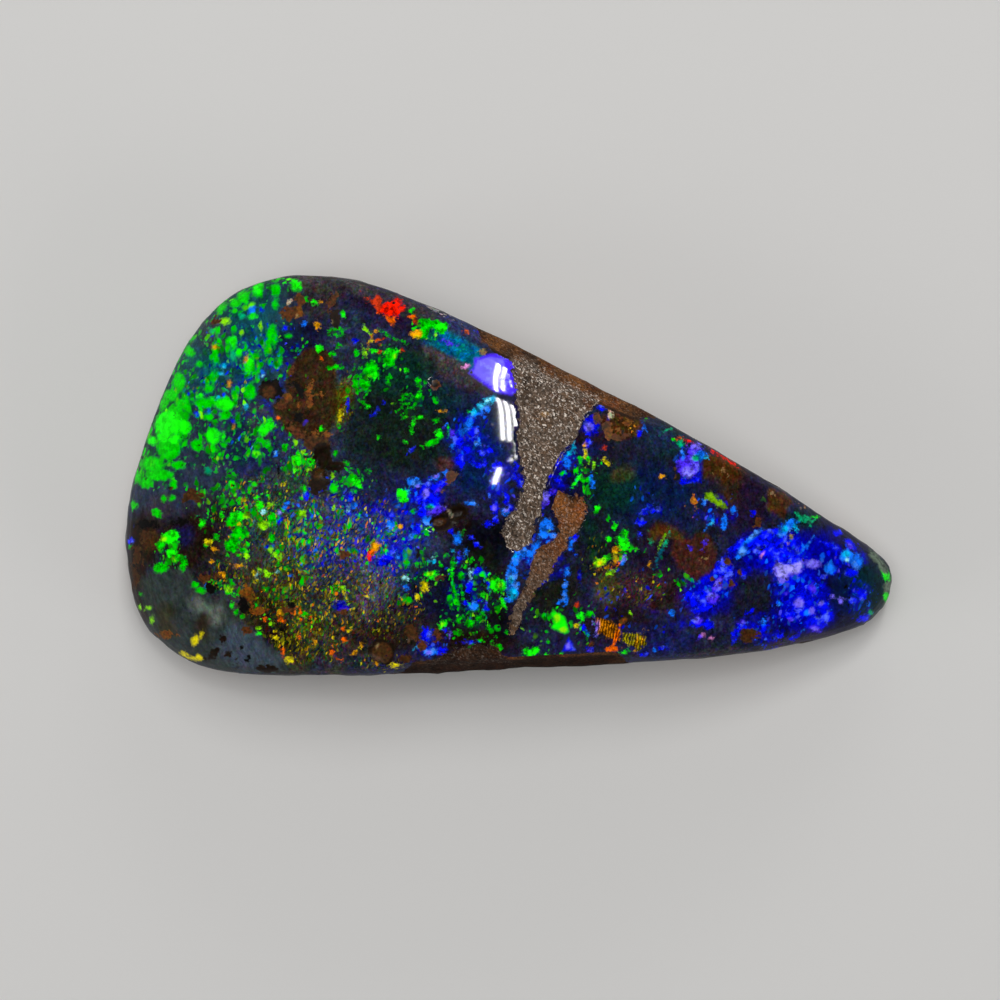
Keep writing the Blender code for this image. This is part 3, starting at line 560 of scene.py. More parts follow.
# Single flashes of colour, drawn one by one: column, row, width, height, turn
flashes = {
    "topLeft": {
        "green": [
            (258, 289, 12, 18), (243, 297, 14, 12, 30), (236, 303, 12, 9), (276, 290, 9, 16),
            (275, 304, 7, 12), (306, 300, 6, 6), (222, 307, 12, 8, 40), (272, 335, 11, 22),
            (215, 354, 6, 24), (189, 351, 9, 14, 45), (200, 364, 8, 6), (267, 350, 5, 12),
            (288, 336, 8, 5), (280, 361, 5, 12), (179, 381, 13, 18), (171, 395, 16, 12),
            (213, 377, 6, 14), (209, 389, 10, 9), (205, 403, 24, 9), (235, 395, 7, 12),
            (250, 392, 12, 18), (209, 417, 10, 8), (225, 415, 12, 10), (183, 404, 14, 12),
            (175, 413, 20, 14), (169, 449, 22, 22), (197, 445, 12, 12), (224, 445, 6, 6),
            (259, 440, 6, 6), (267, 444, 8, 8), (284, 447, 8, 8), (152, 464, 26, 14),
            (178, 465, 14, 9), (235, 288, 9, 7, 30), (192, 338, 8, 6, 50), (164, 404, 8, 16, -20),
        ],
        "vividGreen": [
            (296, 286, 11, 13, 30), (314, 302, 8, 5, -20), (253, 316, 9, 7), (233, 341, 9, 11),
            (249, 365, 10, 20, -8), (319, 348, 7, 9, 30), (200, 396, 7, 6), (224, 404, 19, 14),
            (169, 423, 28, 24), (184, 427, 13, 16), (152, 441, 9, 9), (213, 436, 15, 17),
            (223, 436, 5, 8), (266, 428, 11, 22, -40), (297, 461, 9, 9), (312, 462, 9, 8),
            (322, 429, 5, 5), (257, 290, 6, 9, 20), (163, 437, 12, 10), (174, 439, 12, 9),
        ],
        "lime": [(225, 321, 11, 7), (311, 470, 5, 4), (303, 452, 5, 4), (316, 455, 4, 5)],
        "gold": [(317, 325, 5, 8), (246, 359, 4, 8, -20), (215, 347, 6, 4), (229, 384, 3, 6),
                 (234, 427, 3, 4), (320, 302, 4, 3)],
        "orange": [(278, 418, 5, 5), (321, 359, 3, 3)],
        "skyBlue": [(252, 310, 10, 6, 40), (271, 333, 4, 7), (263, 373, 4, 7), (209, 412, 4, 5),
                    (305, 324, 6, 6), (275, 453, 5, 5)],
        "blue": [(262, 310, 5, 5), (285, 328, 6, 5), (197, 414, 5, 6), (232, 421, 5, 4)],
        "cyan": [(224, 366, 5, 6), (221, 374, 5, 4), (246, 406, 5, 6, -30), (219, 398, 8, 5)],
        "paleCyan": [(263, 376, 3, 3), (275, 453, 2, 2)],
        "seaGreen": [(208, 471, 8, 7), (242, 316, 7, 6), (233, 356, 6, 12), (212, 331, 6, 5)],
    },
    "lowerLeft": {
        "green": [
            (134, 505, 7, 10), (164, 498, 6, 7), (172, 498, 7, 6), (157, 513, 8, 11, 45),
            (146, 483, 12, 12), (138, 478, 9, 11), (159, 475, 28, 12), (173, 484, 8, 10),
            (161, 545, 9, 9), (183, 564, 7, 14), (160, 568, 15, 11), (130, 547, 5, 4),
            (232, 522, 12, 8), (240, 533, 17, 13), (232, 545, 13, 15), (243, 550, 6, 4),
            (216, 537, 6, 5), (272, 521, 9, 15), (272, 538, 7, 9), (278, 565, 6, 5),
            (195, 585, 7, 7, -45), (201, 590, 12, 7), (236, 612, 5, 6), (242, 616, 4, 4),
            (204, 520, 3, 3), (205, 546, 4, 4), (217, 563, 4, 3), (141, 594, 4, 4),
        ],
        "vividGreen": [
            (171, 537, 20, 14, 20), (171, 552, 9, 9), (177, 557, 6, 9), (202, 525, 5, 6),
            (222, 515, 5, 7), (239, 516, 17, 9), (259, 506, 8, 10, -20), (287, 569, 5, 5),
            (236, 595, 7, 4), (233, 605, 5, 8), (258, 633, 4, 5), (268, 495, 4, 4),
            (304, 489, 5, 8), (228, 590, 7, 8), (257, 497, 5, 4),
        ],
        "lime": [
            (163, 539, 7, 5), (247, 516, 7, 7), (270, 505, 6, 5), (264, 525, 11, 10),
            (246, 556, 7, 7), (228, 589, 9, 6), (268, 575, 6, 5), (303, 513, 7, 8),
            (148, 608, 7, 4), (140, 607, 4, 4), (259, 628, 5, 4), (271, 624, 5, 4),
            (152, 620, 4, 7), (263, 571, 12, 3, -20), (276, 556, 3, 7, 30),
        ],
        "yellow": [
            (208, 542, 7, 6), (244, 500, 5, 5), (195, 640, 8, 11, -20), (201, 635, 4, 8, -20),
            (184, 654, 9, 5, -20), (191, 658, 9, 4, -10), (199, 658, 8, 7), (276, 637, 8, 4, 50),
            (289, 660, 8, 8), (254, 573, 4, 6), (285, 483, 4, 4), (255, 580, 4, 7, 30),
        ],
        "gold": [(214, 550, 5, 4), (281, 612, 7, 6), (315, 643, 4, 4), (222, 574, 7, 7),
                 (238, 566, 8, 3, -10), (212, 562, 5, 3)],
        "orange": [(281, 619, 4, 7, 20), (300, 613, 3, 10, 10), (312, 618, 5, 3),
                   (300, 637, 3, 6), (283, 652, 3, 7), (265, 620, 4, 6), (292, 611, 4, 5)],
        "blue": [(131, 541, 7, 6), (280, 520, 4, 8), (306, 495, 8, 9), (267, 547, 4, 4)],
        "skyBlue": [(285, 506, 5, 10, -40), (206, 585, 4, 7), (315, 552, 4, 6), (290, 576, 4, 4)],
        "paleCyan": [(264, 512, 6, 5), (257, 576, 3, 5), (278, 571, 3, 4)],
        "paleLilac": [(280, 512, 6, 6)],
    },
    "upperMiddle": {
        "green": [
            (337, 329, 14, 5), (337, 334, 12, 4), (338, 346, 4, 5), (332, 354, 6, 5),
            (335, 367, 13, 5), (356, 353, 5, 8), (391, 357, 12, 17, -20), (372, 369, 15, 15),
            (391, 363, 8, 8), (390, 377, 5, 5), (361, 367, 4, 4), (355, 383, 5, 10),
            (364, 385, 12, 9), (357, 391, 4, 7), (364, 403, 11, 3, -35), (418, 382, 5, 8),
            (425, 383, 3, 5), (421, 390, 2, 6), (402, 400, 4, 6), (406, 395, 8, 3),
            (405, 404, 6, 4), (412, 399, 6, 3), (415, 404, 3, 5), (410, 407, 4, 3),
            (404, 417, 5, 4), (437, 420, 8, 5), (448, 431, 3, 8), (431, 443, 17, 4, 25),
            (340, 427, 6, 5), (345, 462, 8, 5, -40), (336, 453, 5, 6), (360, 376, 6, 5),
            (412, 311, 4, 5), (397, 340, 12, 2, -20), (385, 333, 10, 2, -35), (440, 437, 5, 5),
        ],
        "vividGreen": [
            (343, 313, 5, 6), (373, 352, 7, 6), (374, 376, 10, 7), (396, 351, 4, 6),
            (406, 370, 3, 5), (418, 396, 4, 4), (421, 417, 9, 2), (413, 422, 3, 4),
            (411, 431, 4, 6), (439, 433, 8, 7), (379, 437, 3, 3), (405, 442, 4, 3),
            (368, 406, 5, 3), (441, 328, 12, 10), (388, 352, 6, 6), (469, 411, 3, 3),
        ],
        "lime": [(367, 330, 3, 9, 40), (365, 353, 4, 9), (395, 356, 3, 4), (362, 347, 3, 6)],
        "gold": [(416, 334, 12, 9), (368, 346, 3, 5), (372, 336, 4, 4), (443, 411, 5, 2),
                 (376, 332, 3, 3)],
        "orange": [(378, 340, 5, 4), (381, 344, 4, 3), (412, 317, 8, 4), (466, 332, 4, 3)],
        "ember": [(384, 339, 4, 3), (380, 352, 4, 3), (402, 350, 3, 3), (415, 321, 4, 5)],
        "yellow": [(340, 416, 5, 11, -15), (371, 341, 3, 3), (417, 337, 5, 4)],
        "blue": [(356, 341, 4, 6), (348, 402, 3, 7), (376, 411, 3, 11, -35), (384, 403, 4, 4),
                 (410, 450, 8, 4, 35), (348, 410, 2, 4), (458, 440, 12, 14), (473, 433, 12, 13),
                 (486, 452, 14, 8), (460, 461, 10, 16), (479, 464, 16, 8), (497, 465, 11, 9),
                 (467, 449, 9, 9), (470, 421, 8, 12)],
        "pink": [(467, 366, 6, 3, 20)],
        "cyan": [(482, 405, 24, 5, 38), (490, 400, 12, 8, 20), (474, 412, 10, 5, 40)],
        "skyBlue": [(479, 411, 20, 7, 38), (469, 424, 8, 13, -20), (463, 432, 8, 8),
                    (487, 409, 7, 8), (477, 441, 7, 8), (452, 446, 5, 8)],
        "violet": [(452, 433, 5, 7), (449, 343, 12, 4, -20)],
        "paleCyan": [(488, 400, 6, 3, 30)],
    },
    "centre": {
        "green": [
            (353, 479, 6, 12), (369, 472, 4, 8), (413, 511, 5, 6), (462, 534, 4, 6),
            (453, 562, 4, 8), (452, 582, 3, 16, -8), (456, 598, 3, 14, 15), (461, 576, 6, 8),
            (462, 591, 3, 12, 8), (454, 557, 3, 6), (470, 624, 8, 9), (458, 620, 6, 6),
            (459, 633, 6, 5), (477, 618, 4, 6), (489, 626, 4, 5), (496, 636, 4, 3),
            (493, 645, 3, 9, 35), (500, 648, 5, 6), (508, 632, 3, 4), (465, 616, 5, 3),
            (441, 566, 4, 4), (474, 632, 4, 3), (450, 620, 4, 3), (481, 640, 4, 3),
            (446, 556, 5, 3), (484, 613, 4, 5), (341, 497, 4, 5), (430, 507, 8, 4),
        ],
        "vividGreen": [
            (357, 483, 9, 12, 30), (359, 516, 5, 6), (403, 495, 11, 14), (432, 574, 13, 8),
            (418, 563, 5, 6), (497, 585, 17, 15), (482, 595, 7, 6, -40), (503, 604, 5, 10, 25),
            (442, 625, 7, 8), (526, 652, 7, 9), (452, 571, 3, 5), (436, 556, 4, 4),
        ],
        "lime": [(344, 588, 9, 4, -25), (430, 573, 6, 5), (442, 624, 4, 4), (500, 585, 4, 5),
                 (333, 475, 5, 9), (334, 506, 3, 6)],
        "yellow": [(424, 586, 7, 12), (417, 598, 4, 7, 30), (367, 596, 5, 4), (394, 665, 11, 5),
                   (428, 590, 5, 5), (349, 631, 3, 4), (359, 648, 3, 3)],
        "gold": [(375, 546, 9, 11), (400, 526, 5, 5), (362, 645, 3, 4), (355, 653, 5, 3, 40),
                 (376, 663, 5, 4)],
        "orange": [(372, 552, 6, 6), (344, 640, 6, 5), (338, 660, 6, 3, -30), (332, 652, 4, 4),
                   (343, 628, 3, 4)],
        "red": [(370, 558, 4, 9, 10)],
        "paleCyan": [(406, 578, 6, 5), (433, 558, 5, 4), (470, 576, 3, 8), (348, 510, 3, 5)],
        "cyan": [(408, 493, 4, 8), (420, 646, 8, 3, 30), (433, 560, 8, 5), (452, 551, 3, 4)],
        "skyBlue": [
            (414, 482, 14, 9), (445, 473, 8, 6), (428, 521, 13, 10), (457, 539, 9, 13),
            (390, 525, 8, 11), (472, 503, 12, 6), (430, 652, 13, 9), (474, 606, 9, 9),
            (354, 504, 5, 8), (405, 587, 7, 5), (436, 478, 14, 6, 35), (506, 512, 9, 9),
            (466, 551, 4, 9), (398, 557, 4, 9), (411, 535, 5, 6),
        ],
        "blue": [
            (350, 498, 6, 9), (348, 512, 6, 8), (422, 499, 12, 12), (438, 488, 9, 8),
            (430, 500, 20, 26, 30), (441, 484, 20, 9, 30), (424, 512, 14, 14),
            (391, 553, 8, 14, -20), (383, 560, 8, 12), (430, 489, 16, 14), (416, 530, 8, 8),
            (459, 557, 5, 12), (452, 531, 6, 6), (495, 508, 8, 12), (507, 499, 6, 14),
            (488, 524, 9, 7), (496, 519, 7, 7), (517, 511, 4, 4), (521, 482, 7, 12),
            (515, 476, 7, 9), (392, 516, 6, 6), (469, 586, 7, 14), (478, 571, 9, 8),
            (486, 608, 5, 10), (469, 642, 14, 4), (426, 634, 12, 13), (443, 652, 11, 9),
            (445, 630, 6, 4), (477, 545, 8, 5, -40), (471, 537, 4, 4), (383, 541, 8, 4),
            (418, 524, 6, 5), (466, 603, 5, 5), (480, 601, 5, 4),
        ],
        "deepBlue": [(341, 606, 18, 11, -15), (388, 560, 10, 16, -30)],
        "violet": [(344, 610, 10, 4), (436, 511, 19, 9, 20), (438, 490, 8, 3, 50)],
        "lilac": [(426, 493, 7, 9, -20), (436, 476, 7, 4, 35), (450, 635, 5, 5), (429, 653, 6, 5),
                  (494, 508, 4, 6), (506, 510, 5, 4), (418, 486, 4, 4)],
    },
    "rightOfVein": {
        "blue": [
            (602, 407, 9, 7), (590, 426, 17, 17), (588, 443, 9, 9), (608, 420, 4, 6),
            (558, 462, 6, 11), (549, 476, 6, 6), (553, 492, 8, 8), (543, 507, 4, 11),
            (516, 468, 6, 10), (520, 481, 7, 12), (511, 508, 5, 10), (575, 537, 5, 7),
            (645, 511, 17, 6, 40), (641, 522, 11, 8), (640, 534, 5, 5), (639, 434, 4, 4),
            (594, 418, 4, 7, 60), (655, 511, 7, 4), (694, 480, 16, 6), (682, 482, 9, 6),
            (521, 383, 5, 14), (557, 480, 8, 4),
        ],
        "deepBlue": [(659, 510, 9, 9), (580, 576, 3, 12)],
        "lilac": [(589, 427, 9, 9), (545, 497, 9, 12), (625, 558, 5, 5), (688, 472, 13, 12),
                  (696, 446, 12, 7)],
        "violet": [(553, 491, 6, 5), (688, 466, 22, 24), (695, 450, 18, 12), (544, 500, 11, 14),
                   (690, 548, 6, 5), (705, 542, 5, 5), (702, 550, 5, 3)],
        "skyBlue": [
            (547, 525, 14, 15), (554, 536, 9, 6), (537, 547, 6, 26, -15), (534, 557, 6, 6),
            (521, 552, 13, 14), (529, 542, 3, 6), (571, 544, 5, 13), (592, 482, 3, 14, 5),
            (567, 462, 7, 12, 20), (567, 572, 7, 8), (565, 585, 6, 8), (565, 597, 6, 14),
            (560, 602, 6, 4), (623, 560, 4, 8, -20), (704, 503, 6, 6), (702, 454, 12, 8),
            (512, 574, 12, 18), (513, 590, 13, 20), (529, 578, 5, 5), (644, 426, 2, 8, 30),
            (516, 560, 9, 12, -20), (523, 549, 10, 10), (510, 583, 8, 12), (544, 534, 10, 10),
            (532, 553, 6, 16, -25), (508, 600, 6, 6), (683, 454, 5, 12),
        ],
        "cyan": [(573, 446, 4, 16, 8), (570, 453, 6, 5), (513, 594, 9, 12), (706, 457, 5, 4),
                 (515, 556, 4, 4), (511, 580, 5, 8)],
        "tealBlue": [(661, 553, 4, 26, -22)],
        "seaGreen": [(696, 458, 8, 6), (681, 443, 5, 9), (651, 540, 3, 10, 20),
        (667, 430, 9, 2, 28),
                     (666, 542, 3, 12, -22)],
        "green": [(580, 461, 5, 8), (576, 471, 6, 6), (588, 480, 5, 5), (608, 518, 3, 4),
                  (596, 513, 4, 4), (589, 614, 8, 5), (646, 418, 3, 3), (563, 474, 5, 3)],
        "vividGreen": [
            (579, 478, 11, 4, 45), (573, 485, 6, 4, 45), (597, 508, 5, 6), (615, 525, 5, 6),
            (625, 534, 6, 12, 15), (624, 545, 10, 12, 15), (609, 539, 5, 5), (636, 549, 4, 3),
            (607, 558, 13, 4, 15), (581, 616, 8, 9), (532, 593, 4, 8), (533, 652, 15, 9, 30),
            (548, 644, 3, 6), (548, 655, 6, 2), (561, 654, 3, 2), (625, 652, 9, 3, 20),
            (673, 440, 3, 3), (588, 459, 4, 5), (620, 540, 8, 8, 15),
        ],
        "lime": [(600, 562, 13, 8, 20), (593, 465, 4, 5), (588, 462, 3, 4),
        (662, 542, 2.5, 12, -22),
                 (611, 572, 8, 5, 20), (549, 531, 3, 3)],
        "yellow": [(585, 452, 2, 9), (600, 563, 5, 5), (544, 580, 5, 4), (576, 626, 5, 4),
                   (607, 462, 8, 5, -30), (615, 556, 6, 8)],
        "gold": [(585, 445, 3, 6), (616, 551, 6, 8, -20), (616, 561, 13, 4, 35), (662, 477, 5, 3),
                 (604, 568, 9, 3, 15), (650, 564, 4, 4)],
        "ember": [(604, 448, 5, 4), (576, 605, 5, 4)],
        "orange": [(679, 438, 5, 3), (617, 564, 10, 2, 40)],
        "red": [(690, 442, 8, 2, -20)],
    },
    "lowerRight": {
        "orange": [(613, 648, 12, 6, 10), (616, 638, 4, 18, -12)],
        "gold": [(637, 642, 3, 13, -10), (643, 639, 3, 12, -12)],
        "blue": [(583, 628, 6, 7, -30), (589, 650, 8, 5), (664, 648, 12, 4), (645, 654, 8, 3)],
        "skyBlue": [(587, 633, 7, 4, -40), (655, 650, 4, 4)],
        "lilac": [(597, 627, 3, 12, -8), (568, 646, 5, 7), (593, 621, 2, 5)],
        "lime": [(557, 618, 5, 8), (563, 630, 8, 5), (630, 614, 2, 6)],
        "violet": [(589, 650, 5, 4), (701, 636, 6, 3, 30)],
    },
    "tip": {
        "blue": [
            (768, 536, 32, 14, 15), (739, 547, 30, 11, 38), (724, 570, 20, 22, 20),
            (704, 601, 30, 20, 30), (708, 625, 11, 12), (746, 573, 14, 9, 40),
            (774, 546, 52, 24, 0), (788, 557, 30, 15, 0), (851, 573, 16, 8), (837, 533, 8, 7),
            (829, 545, 19, 4, -25), (823, 577, 18, 4, 20), (792, 614, 16, 14), (827, 617, 14, 11),
            (853, 601, 9, 7), (862, 594, 10, 13), (864, 618, 13, 7, 20), (750, 612, 9, 4, 30),
            (735, 635, 8, 14, -20), (742, 626, 13, 6, 40), (764, 627, 8, 16, -25),
            (778, 636, 13, 7, 15), (795, 637, 10, 5, 20), (773, 649, 12, 3), (753, 513, 4, 5),
            (696, 516, 4, 5), (697, 622, 13, 12), (800, 607, 24, 18), (816, 624, 22, 14),
            (851, 545, 7, 15, 40), (690, 596, 14, 10, 20), (812, 590, 9, 14, 30),
            (803, 606, 26, 20, -20), (702, 604, 24, 18, 35), (824, 608, 12, 16),
        ],
        "skyBlue": [
            (752, 537, 24, 5, 40), (788, 527, 22, 11, 35), (733, 510, 7, 7), (724, 523, 6, 12),
            (857, 562, 12, 15), (830, 569, 11, 12, 40), (805, 547, 3, 16, -40), (779, 603, 5, 5),
            (711, 522, 4, 13, -35), (764, 622, 5, 8, -20), (807, 613, 6, 6), (847, 556, 14, 13),
            (742, 552, 8, 14, -30), (672, 613, 6, 6), (783, 533, 14, 6, 30),
        ],
        "violet": [(718, 584, 17, 9, 50), (713, 598, 13, 11), (698, 620, 9, 8),
                   (815, 629, 11, 6, -20), (790, 620, 6, 5), (850, 546, 4, 9, 40),
                   (813, 588, 6, 10, 20), (742, 622, 6, 4), (786, 593, 4, 4)],
        "lilac": [(813, 564, 16, 9),
                  (799, 603, 10, 9), (821, 603, 5, 5), (841, 600, 5, 8, 20), (812, 611, 6, 7),
                  (717, 583, 9, 4, 50), (815, 629, 7, 3, -20), (833, 597, 5, 3)],
        "cyan": [(795, 527, 4, 8), (711, 524, 3, 8, -35), (846, 554, 8, 7), (785, 529, 6, 6)],
        "paleCyan": [(847, 560, 4, 4)],
        "seaGreen": [(871, 613, 4, 5), (803, 518, 18, 7, -25), (812, 522, 3, 8, -40)],
        "vividGreen": [(814, 517, 5, 3), (886, 575, 7, 14, 15), (887, 597, 8, 8)],
        "pink": [(704, 635, 5, 4), (712, 638, 6, 4, 20), (762, 555, 2, 6, -40)],
        "red": [(732, 463, 9, 3, -35), (722, 457, 12, 2, -32), (714, 452, 7, 2, -32)],
        "lipGrey": [(875, 557, 8, 18, 40), (883, 567, 8, 16, 30), (888, 587, 9, 12),
                    (886, 604, 5, 8, -20)],
        "green": [(884, 572, 5, 12, 20), (889, 600, 5, 6, -10)],
    },
}

# Flashes with corners: colour and the points round them
flashShapes = {
    "redFlash": ("red", [
        (381, 304), (390, 301), (399, 297), (402, 299), (401, 305), (406, 308), (400, 313),
        (396, 318), (393, 315), (386, 316), (378, 312)]),
    "redFlashLeft": ("ember", [
        (361, 291), (365, 297), (373, 298), (378, 293), (382, 300), (381, 312), (376, 309),
        (372, 304), (364, 300)]),
    "redFlashFoot": ("orange", [
        (377, 312), (386, 316), (396, 317), (396, 322), (393, 327), (389, 323), (384, 317)]),
    "greenWing": ("green", [
        (418, 318), (424, 318), (438, 320), (449, 325), (447, 331), (440, 334), (434, 329),
        (429, 329), (427, 336), (421, 341), (419, 336), (421, 326)]),
    "violetFlash": ("violet", [
        (474, 358), (489, 354), (501, 353), (513, 360), (521, 372), (520, 390), (511, 396),
        (494, 392), (480, 382), (468, 373), (473, 367)]),
    "violetHeart": ("lilac", [
        (477, 361), (489, 357), (503, 359), (507, 372), (502, 388), (495, 388), (482, 380),
        (473, 373)]),
    "tipGlow": ("lilac", [
        (775, 560), (780, 553), (788, 548), (795, 551), (802, 558), (804, 568), (799, 574),
        (792, 575), (787, 581), (779, 583), (774, 574)]),
    "tipHeart": ("paleLilac", [
        (777, 563), (783, 557), (787, 558), (790, 550), (797, 555), (803, 566), (798, 573),
        (789, 572), (785, 578), (777, 576)]),
    "oliveFlake": ("leaf", [
        (706, 492), (711, 490), (718, 498), (727, 508), (719, 507), (711, 502), (705, 499)]),
    "rhombus": ("vividGreen", [
        (553, 610), (565, 617), (569, 632), (565, 634), (551, 628), (555, 622), (551, 614)]),
    "blueTriangle": ("blue", [(569, 637), (576, 651), (562, 651)]),
    "ribbedBand": ("amberGold", [
        (596, 618), (609, 620), (618, 626), (621, 632), (620, 641), (610, 639), (603, 635),
        (596, 632)]),
    "ribbedBandRight": ("mustard", [
        (623, 631), (634, 634), (647, 633), (646, 645), (639, 651), (632, 646), (623, 643)]),
}

ribbedShapes = ("ribbedBand", "ribbedBandRight")     # these are broken into fine ribs
ribSpacing = 0.11        # mm
calmShapes = ("violetFlash", "violetHeart", "rhombus", "blueTriangle")   # whole, without gaps

# Brown iron stains and clear patches, under the flashes but with an edge of their own
stains = {
    "brownWindow": ("windowBrown", [
        (318, 347), (300, 355), (287, 375), (285, 395), (272, 405), (285, 430), (306, 442),
        (322, 437), (334, 420), (336, 395), (334, 360)]),
    "potch": ("mist", [
        (141, 578), (160, 571), (184, 569), (198, 584), (214, 597), (227, 597), (240, 620),
        (267, 641), (284, 657), (284, 672), (234, 674), (200, 665), (170, 652), (152, 632),
        (142, 606)]),
    "potchBlue": ("blueMist", [
        (233, 624), (246, 630), (264, 644), (281, 660), (270, 668), (240, 668), (216, 652),
        (222, 636)]),
    "potchOlive": ("hazeOlive", [
        (156, 612), (165, 604), (176, 610), (172, 622), (178, 634), (162, 632)]),
    "potchBrown": ("hazeBrown", [
        (198, 616), (206, 610), (214, 618), (208, 628), (212, 640), (201, 636), (196, 626)]),
    "potchPale": ("paleMist", [
        (190, 598), (199, 596), (204, 604), (212, 606), (222, 608), (222, 622), (213, 626),
        (206, 612), (196, 612)]),
    "amberNodule": ("brown", [
        (604, 416), (612, 408), (634, 413), (642, 422), (636, 436), (618, 441), (606, 434),
        (600, 425)]),
    "upperBrown": ("brown", [
        (704, 460), (714, 455), (728, 462), (741, 470), (736, 480), (728, 476), (724, 484),
        (714, 474), (704, 480)]),
    "brownKnob": ("brown", [
        (771, 488), (780, 491), (792, 502), (786, 508), (784, 517), (776, 512), (766, 512),
        (768, 500)]),
    "redBrownDisc": ("redBrown", [
        (672, 546), (678, 536), (690, 538), (700, 531), (711, 538), (717, 553), (712, 570),
        (704, 574), (696, 583), (686, 572), (676, 562)]),
    "amberVeil": ("windowLight", [
        (650, 532), (656, 521), (666, 525), (678, 530), (684, 538), (672, 535), (664, 542),
        (658, 536), (652, 542)]),
    "bevelFoot": ("greyHaze", [
        (424, 349), (430, 346), (452, 357), (474, 371), (495, 391), (488, 395), (462, 379),
        (436, 362)]),
    "rimBrown": ("rust", [(481, 334), (493, 337), (500, 341), (488, 342), (480, 339)]),
}

# Small brown grains, knobs and dark holes, over the flashes, with a painted highlight and a painted
# glint among them: colour, place, size and turn
grains = [
    ("rust", 299, 308, 10, 22, 0), ("rust", 287, 314, 11, 11, 0), ("amber", 300, 312, 6, 12, 0),
    ("cream", 290, 301, 3, 3, 0), ("tan", 297, 316, 3, 4, 0), ("rust", 215, 321, 6, 5, 0),
    ("darkBrown", 270, 390, 21, 20, 0), ("soot", 278, 392, 8, 15, -10),
    ("soot", 268, 382, 14, 5, 10), ("brown", 269, 392, 13, 12, 0), ("rust", 267, 394, 6, 4, 30),
    ("rust", 333, 302, 8, 20, -10), ("darkBrown", 335, 318, 9, 22, 0), ("tan", 331, 322, 4, 4, 0),
    ("amber", 311, 386, 8, 12, 0), ("amber", 313, 395, 15, 6, -20), ("amber", 310, 401, 5, 10, 0),
    ("rust", 285, 403, 16, 8, 40), ("amber", 289, 397, 8, 6, 0), ("rust", 295, 431, 22, 10, -35),
    ("brown", 316, 442, 24, 16, 0), ("amber", 318, 434, 14, 5, 0), ("rust", 292, 371, 8, 5, 60),
    ("amber", 298, 406, 4, 4, 0), ("soot", 299, 418, 8, 7, 0), ("soot", 300, 393, 9, 9, 0),
    ("soot", 294, 384, 8, 6, 0), ("darkBrown", 322, 455, 20, 26, 0),
    ("darkBrown", 332, 465, 22, 14, -25), ("darkBrown", 319, 479, 19, 30, -18),
    ("brown", 319, 474, 9, 12, -30), ("brown", 192, 496, 22, 11, 0),
    ("brown", 147, 537, 15, 11, 30), ("brown", 137, 556, 10, 22, 0), ("soot", 182, 522, 16, 6, 0),
    ("soot", 150, 524, 26, 7, 5), ("brown", 134, 575, 8, 26, 0), ("soot", 212, 588, 11, 12, 0),
    ("amber", 247, 593, 11, 20, 30), ("soot", 243, 604, 10, 15, 0), ("rust", 208, 578, 18, 6, 0),
    ("amber", 259, 612, 13, 7, 0), ("amber", 164, 635, 19, 8, 30),
    ("darkBrown", 223, 639, 4, 11, 30), ("darkBrown", 212, 654, 9, 8, 0),
    ("darkBrown", 217, 650, 5, 5, 0), ("darkBrown", 229, 654, 8, 7, 0),
    ("darkBrown", 235, 661, 4, 8, 0), ("soot", 241, 648, 3, 3, 0), ("soot", 247, 659, 3, 3, 0),
    ("rust", 289, 610, 9, 5, 0), ("soot", 291, 605, 8, 6, 0), ("rust", 247, 630, 9, 6, 0),
    ("darkBrown", 271, 669, 22, 5, 0), ("rust", 346, 555, 8, 5, 0), ("soot", 418, 553, 4, 8, 0),
    ("rust", 435, 385, 10, 9, 0), ("soot", 435, 385, 6, 5, 0), ("tan", 483, 352, 9, 7, 0),
    ("darkBrown", 487, 350, 4, 4, 0), ("brown", 480, 354, 3, 3, 0), ("rust", 450, 478, 11, 10, 20),
    ("rust", 441, 491, 7, 4, 60), ("darkBrown", 457, 512, 21, 15, -10),
    ("darkBrown", 443, 523, 23, 16, 10), ("brown", 440, 522, 14, 8, 15),
    # the cream streak in the twin pit is a painted glint
    ("cream", 450, 513, 2, 9, 30), ("darkBrown", 461, 508, 10, 5, 0),
    ("rust", 346, 613, 12, 4, -10), ("brown", 411, 633, 15, 17, 20),
    ("rust", 437, 636, 15, 9, -50), ("darkBrown", 382, 652, 25, 25, 0),
    ("brown", 382, 653, 20, 21, -20), ("tan", 377, 646, 3, 5, 0), ("brown", 406, 658, 12, 8, 0),
    ("rust", 422, 645, 6, 6, 0), ("rust", 442, 578, 7, 5, 30), ("rust", 599, 417, 10, 9, 0),
    ("cream", 611, 414, 8, 5, 30), ("amber", 628, 423, 9, 11, 20), ("amber", 619, 430, 5, 7, 0),
    ("gold", 632, 427, 5, 5, 0), ("amber", 609, 433, 6, 8, 0), ("rust", 616, 437, 8, 6, 0),
    ("amber", 618, 421, 6, 5, 0), ("rust", 606, 425, 5, 8, 0), ("rust", 626, 435, 7, 5, 0),
    ("soot", 622, 432, 3, 6, 0), ("soot", 677, 477, 8, 8, 0), ("rust", 675, 476, 3, 4, 0),
    ("rust", 757, 521, 8, 8, 0), ("tan", 774, 494, 3, 2, 0), ("rust", 780, 503, 7, 5, 0),
    ("amberGold", 694, 501, 6, 5, 0), ("amberGold", 697, 508, 5, 5, 0),
    ("tan", 805, 507, 6, 2, -20), ("tan", 789, 537, 7, 7, 0), ("rust", 739, 571, 5, 5, 0),
    ("rust", 729, 562, 5, 5, 0), ("rust", 731, 582, 4, 8, 0), ("rust", 712, 579, 6, 5, 0),
    # the pale line at the chip in the upper rim is a painted highlight
    ("brown", 749, 634, 15, 13, 20), ("brown", 754, 636, 7, 5, 0), ("chalk", 439, 310, 18, 5, -27),
    ("tan", 720, 470, 4, 3, 0), ("tan", 706, 558, 2, 2, 0), ("darkBrown", 625, 618, 9, 9, 30),
    ("amber", 624, 620, 6, 5, 20), ("rust", 592, 645, 4, 4, 0), ("soot", 771, 526, 9, 5, 0),
]


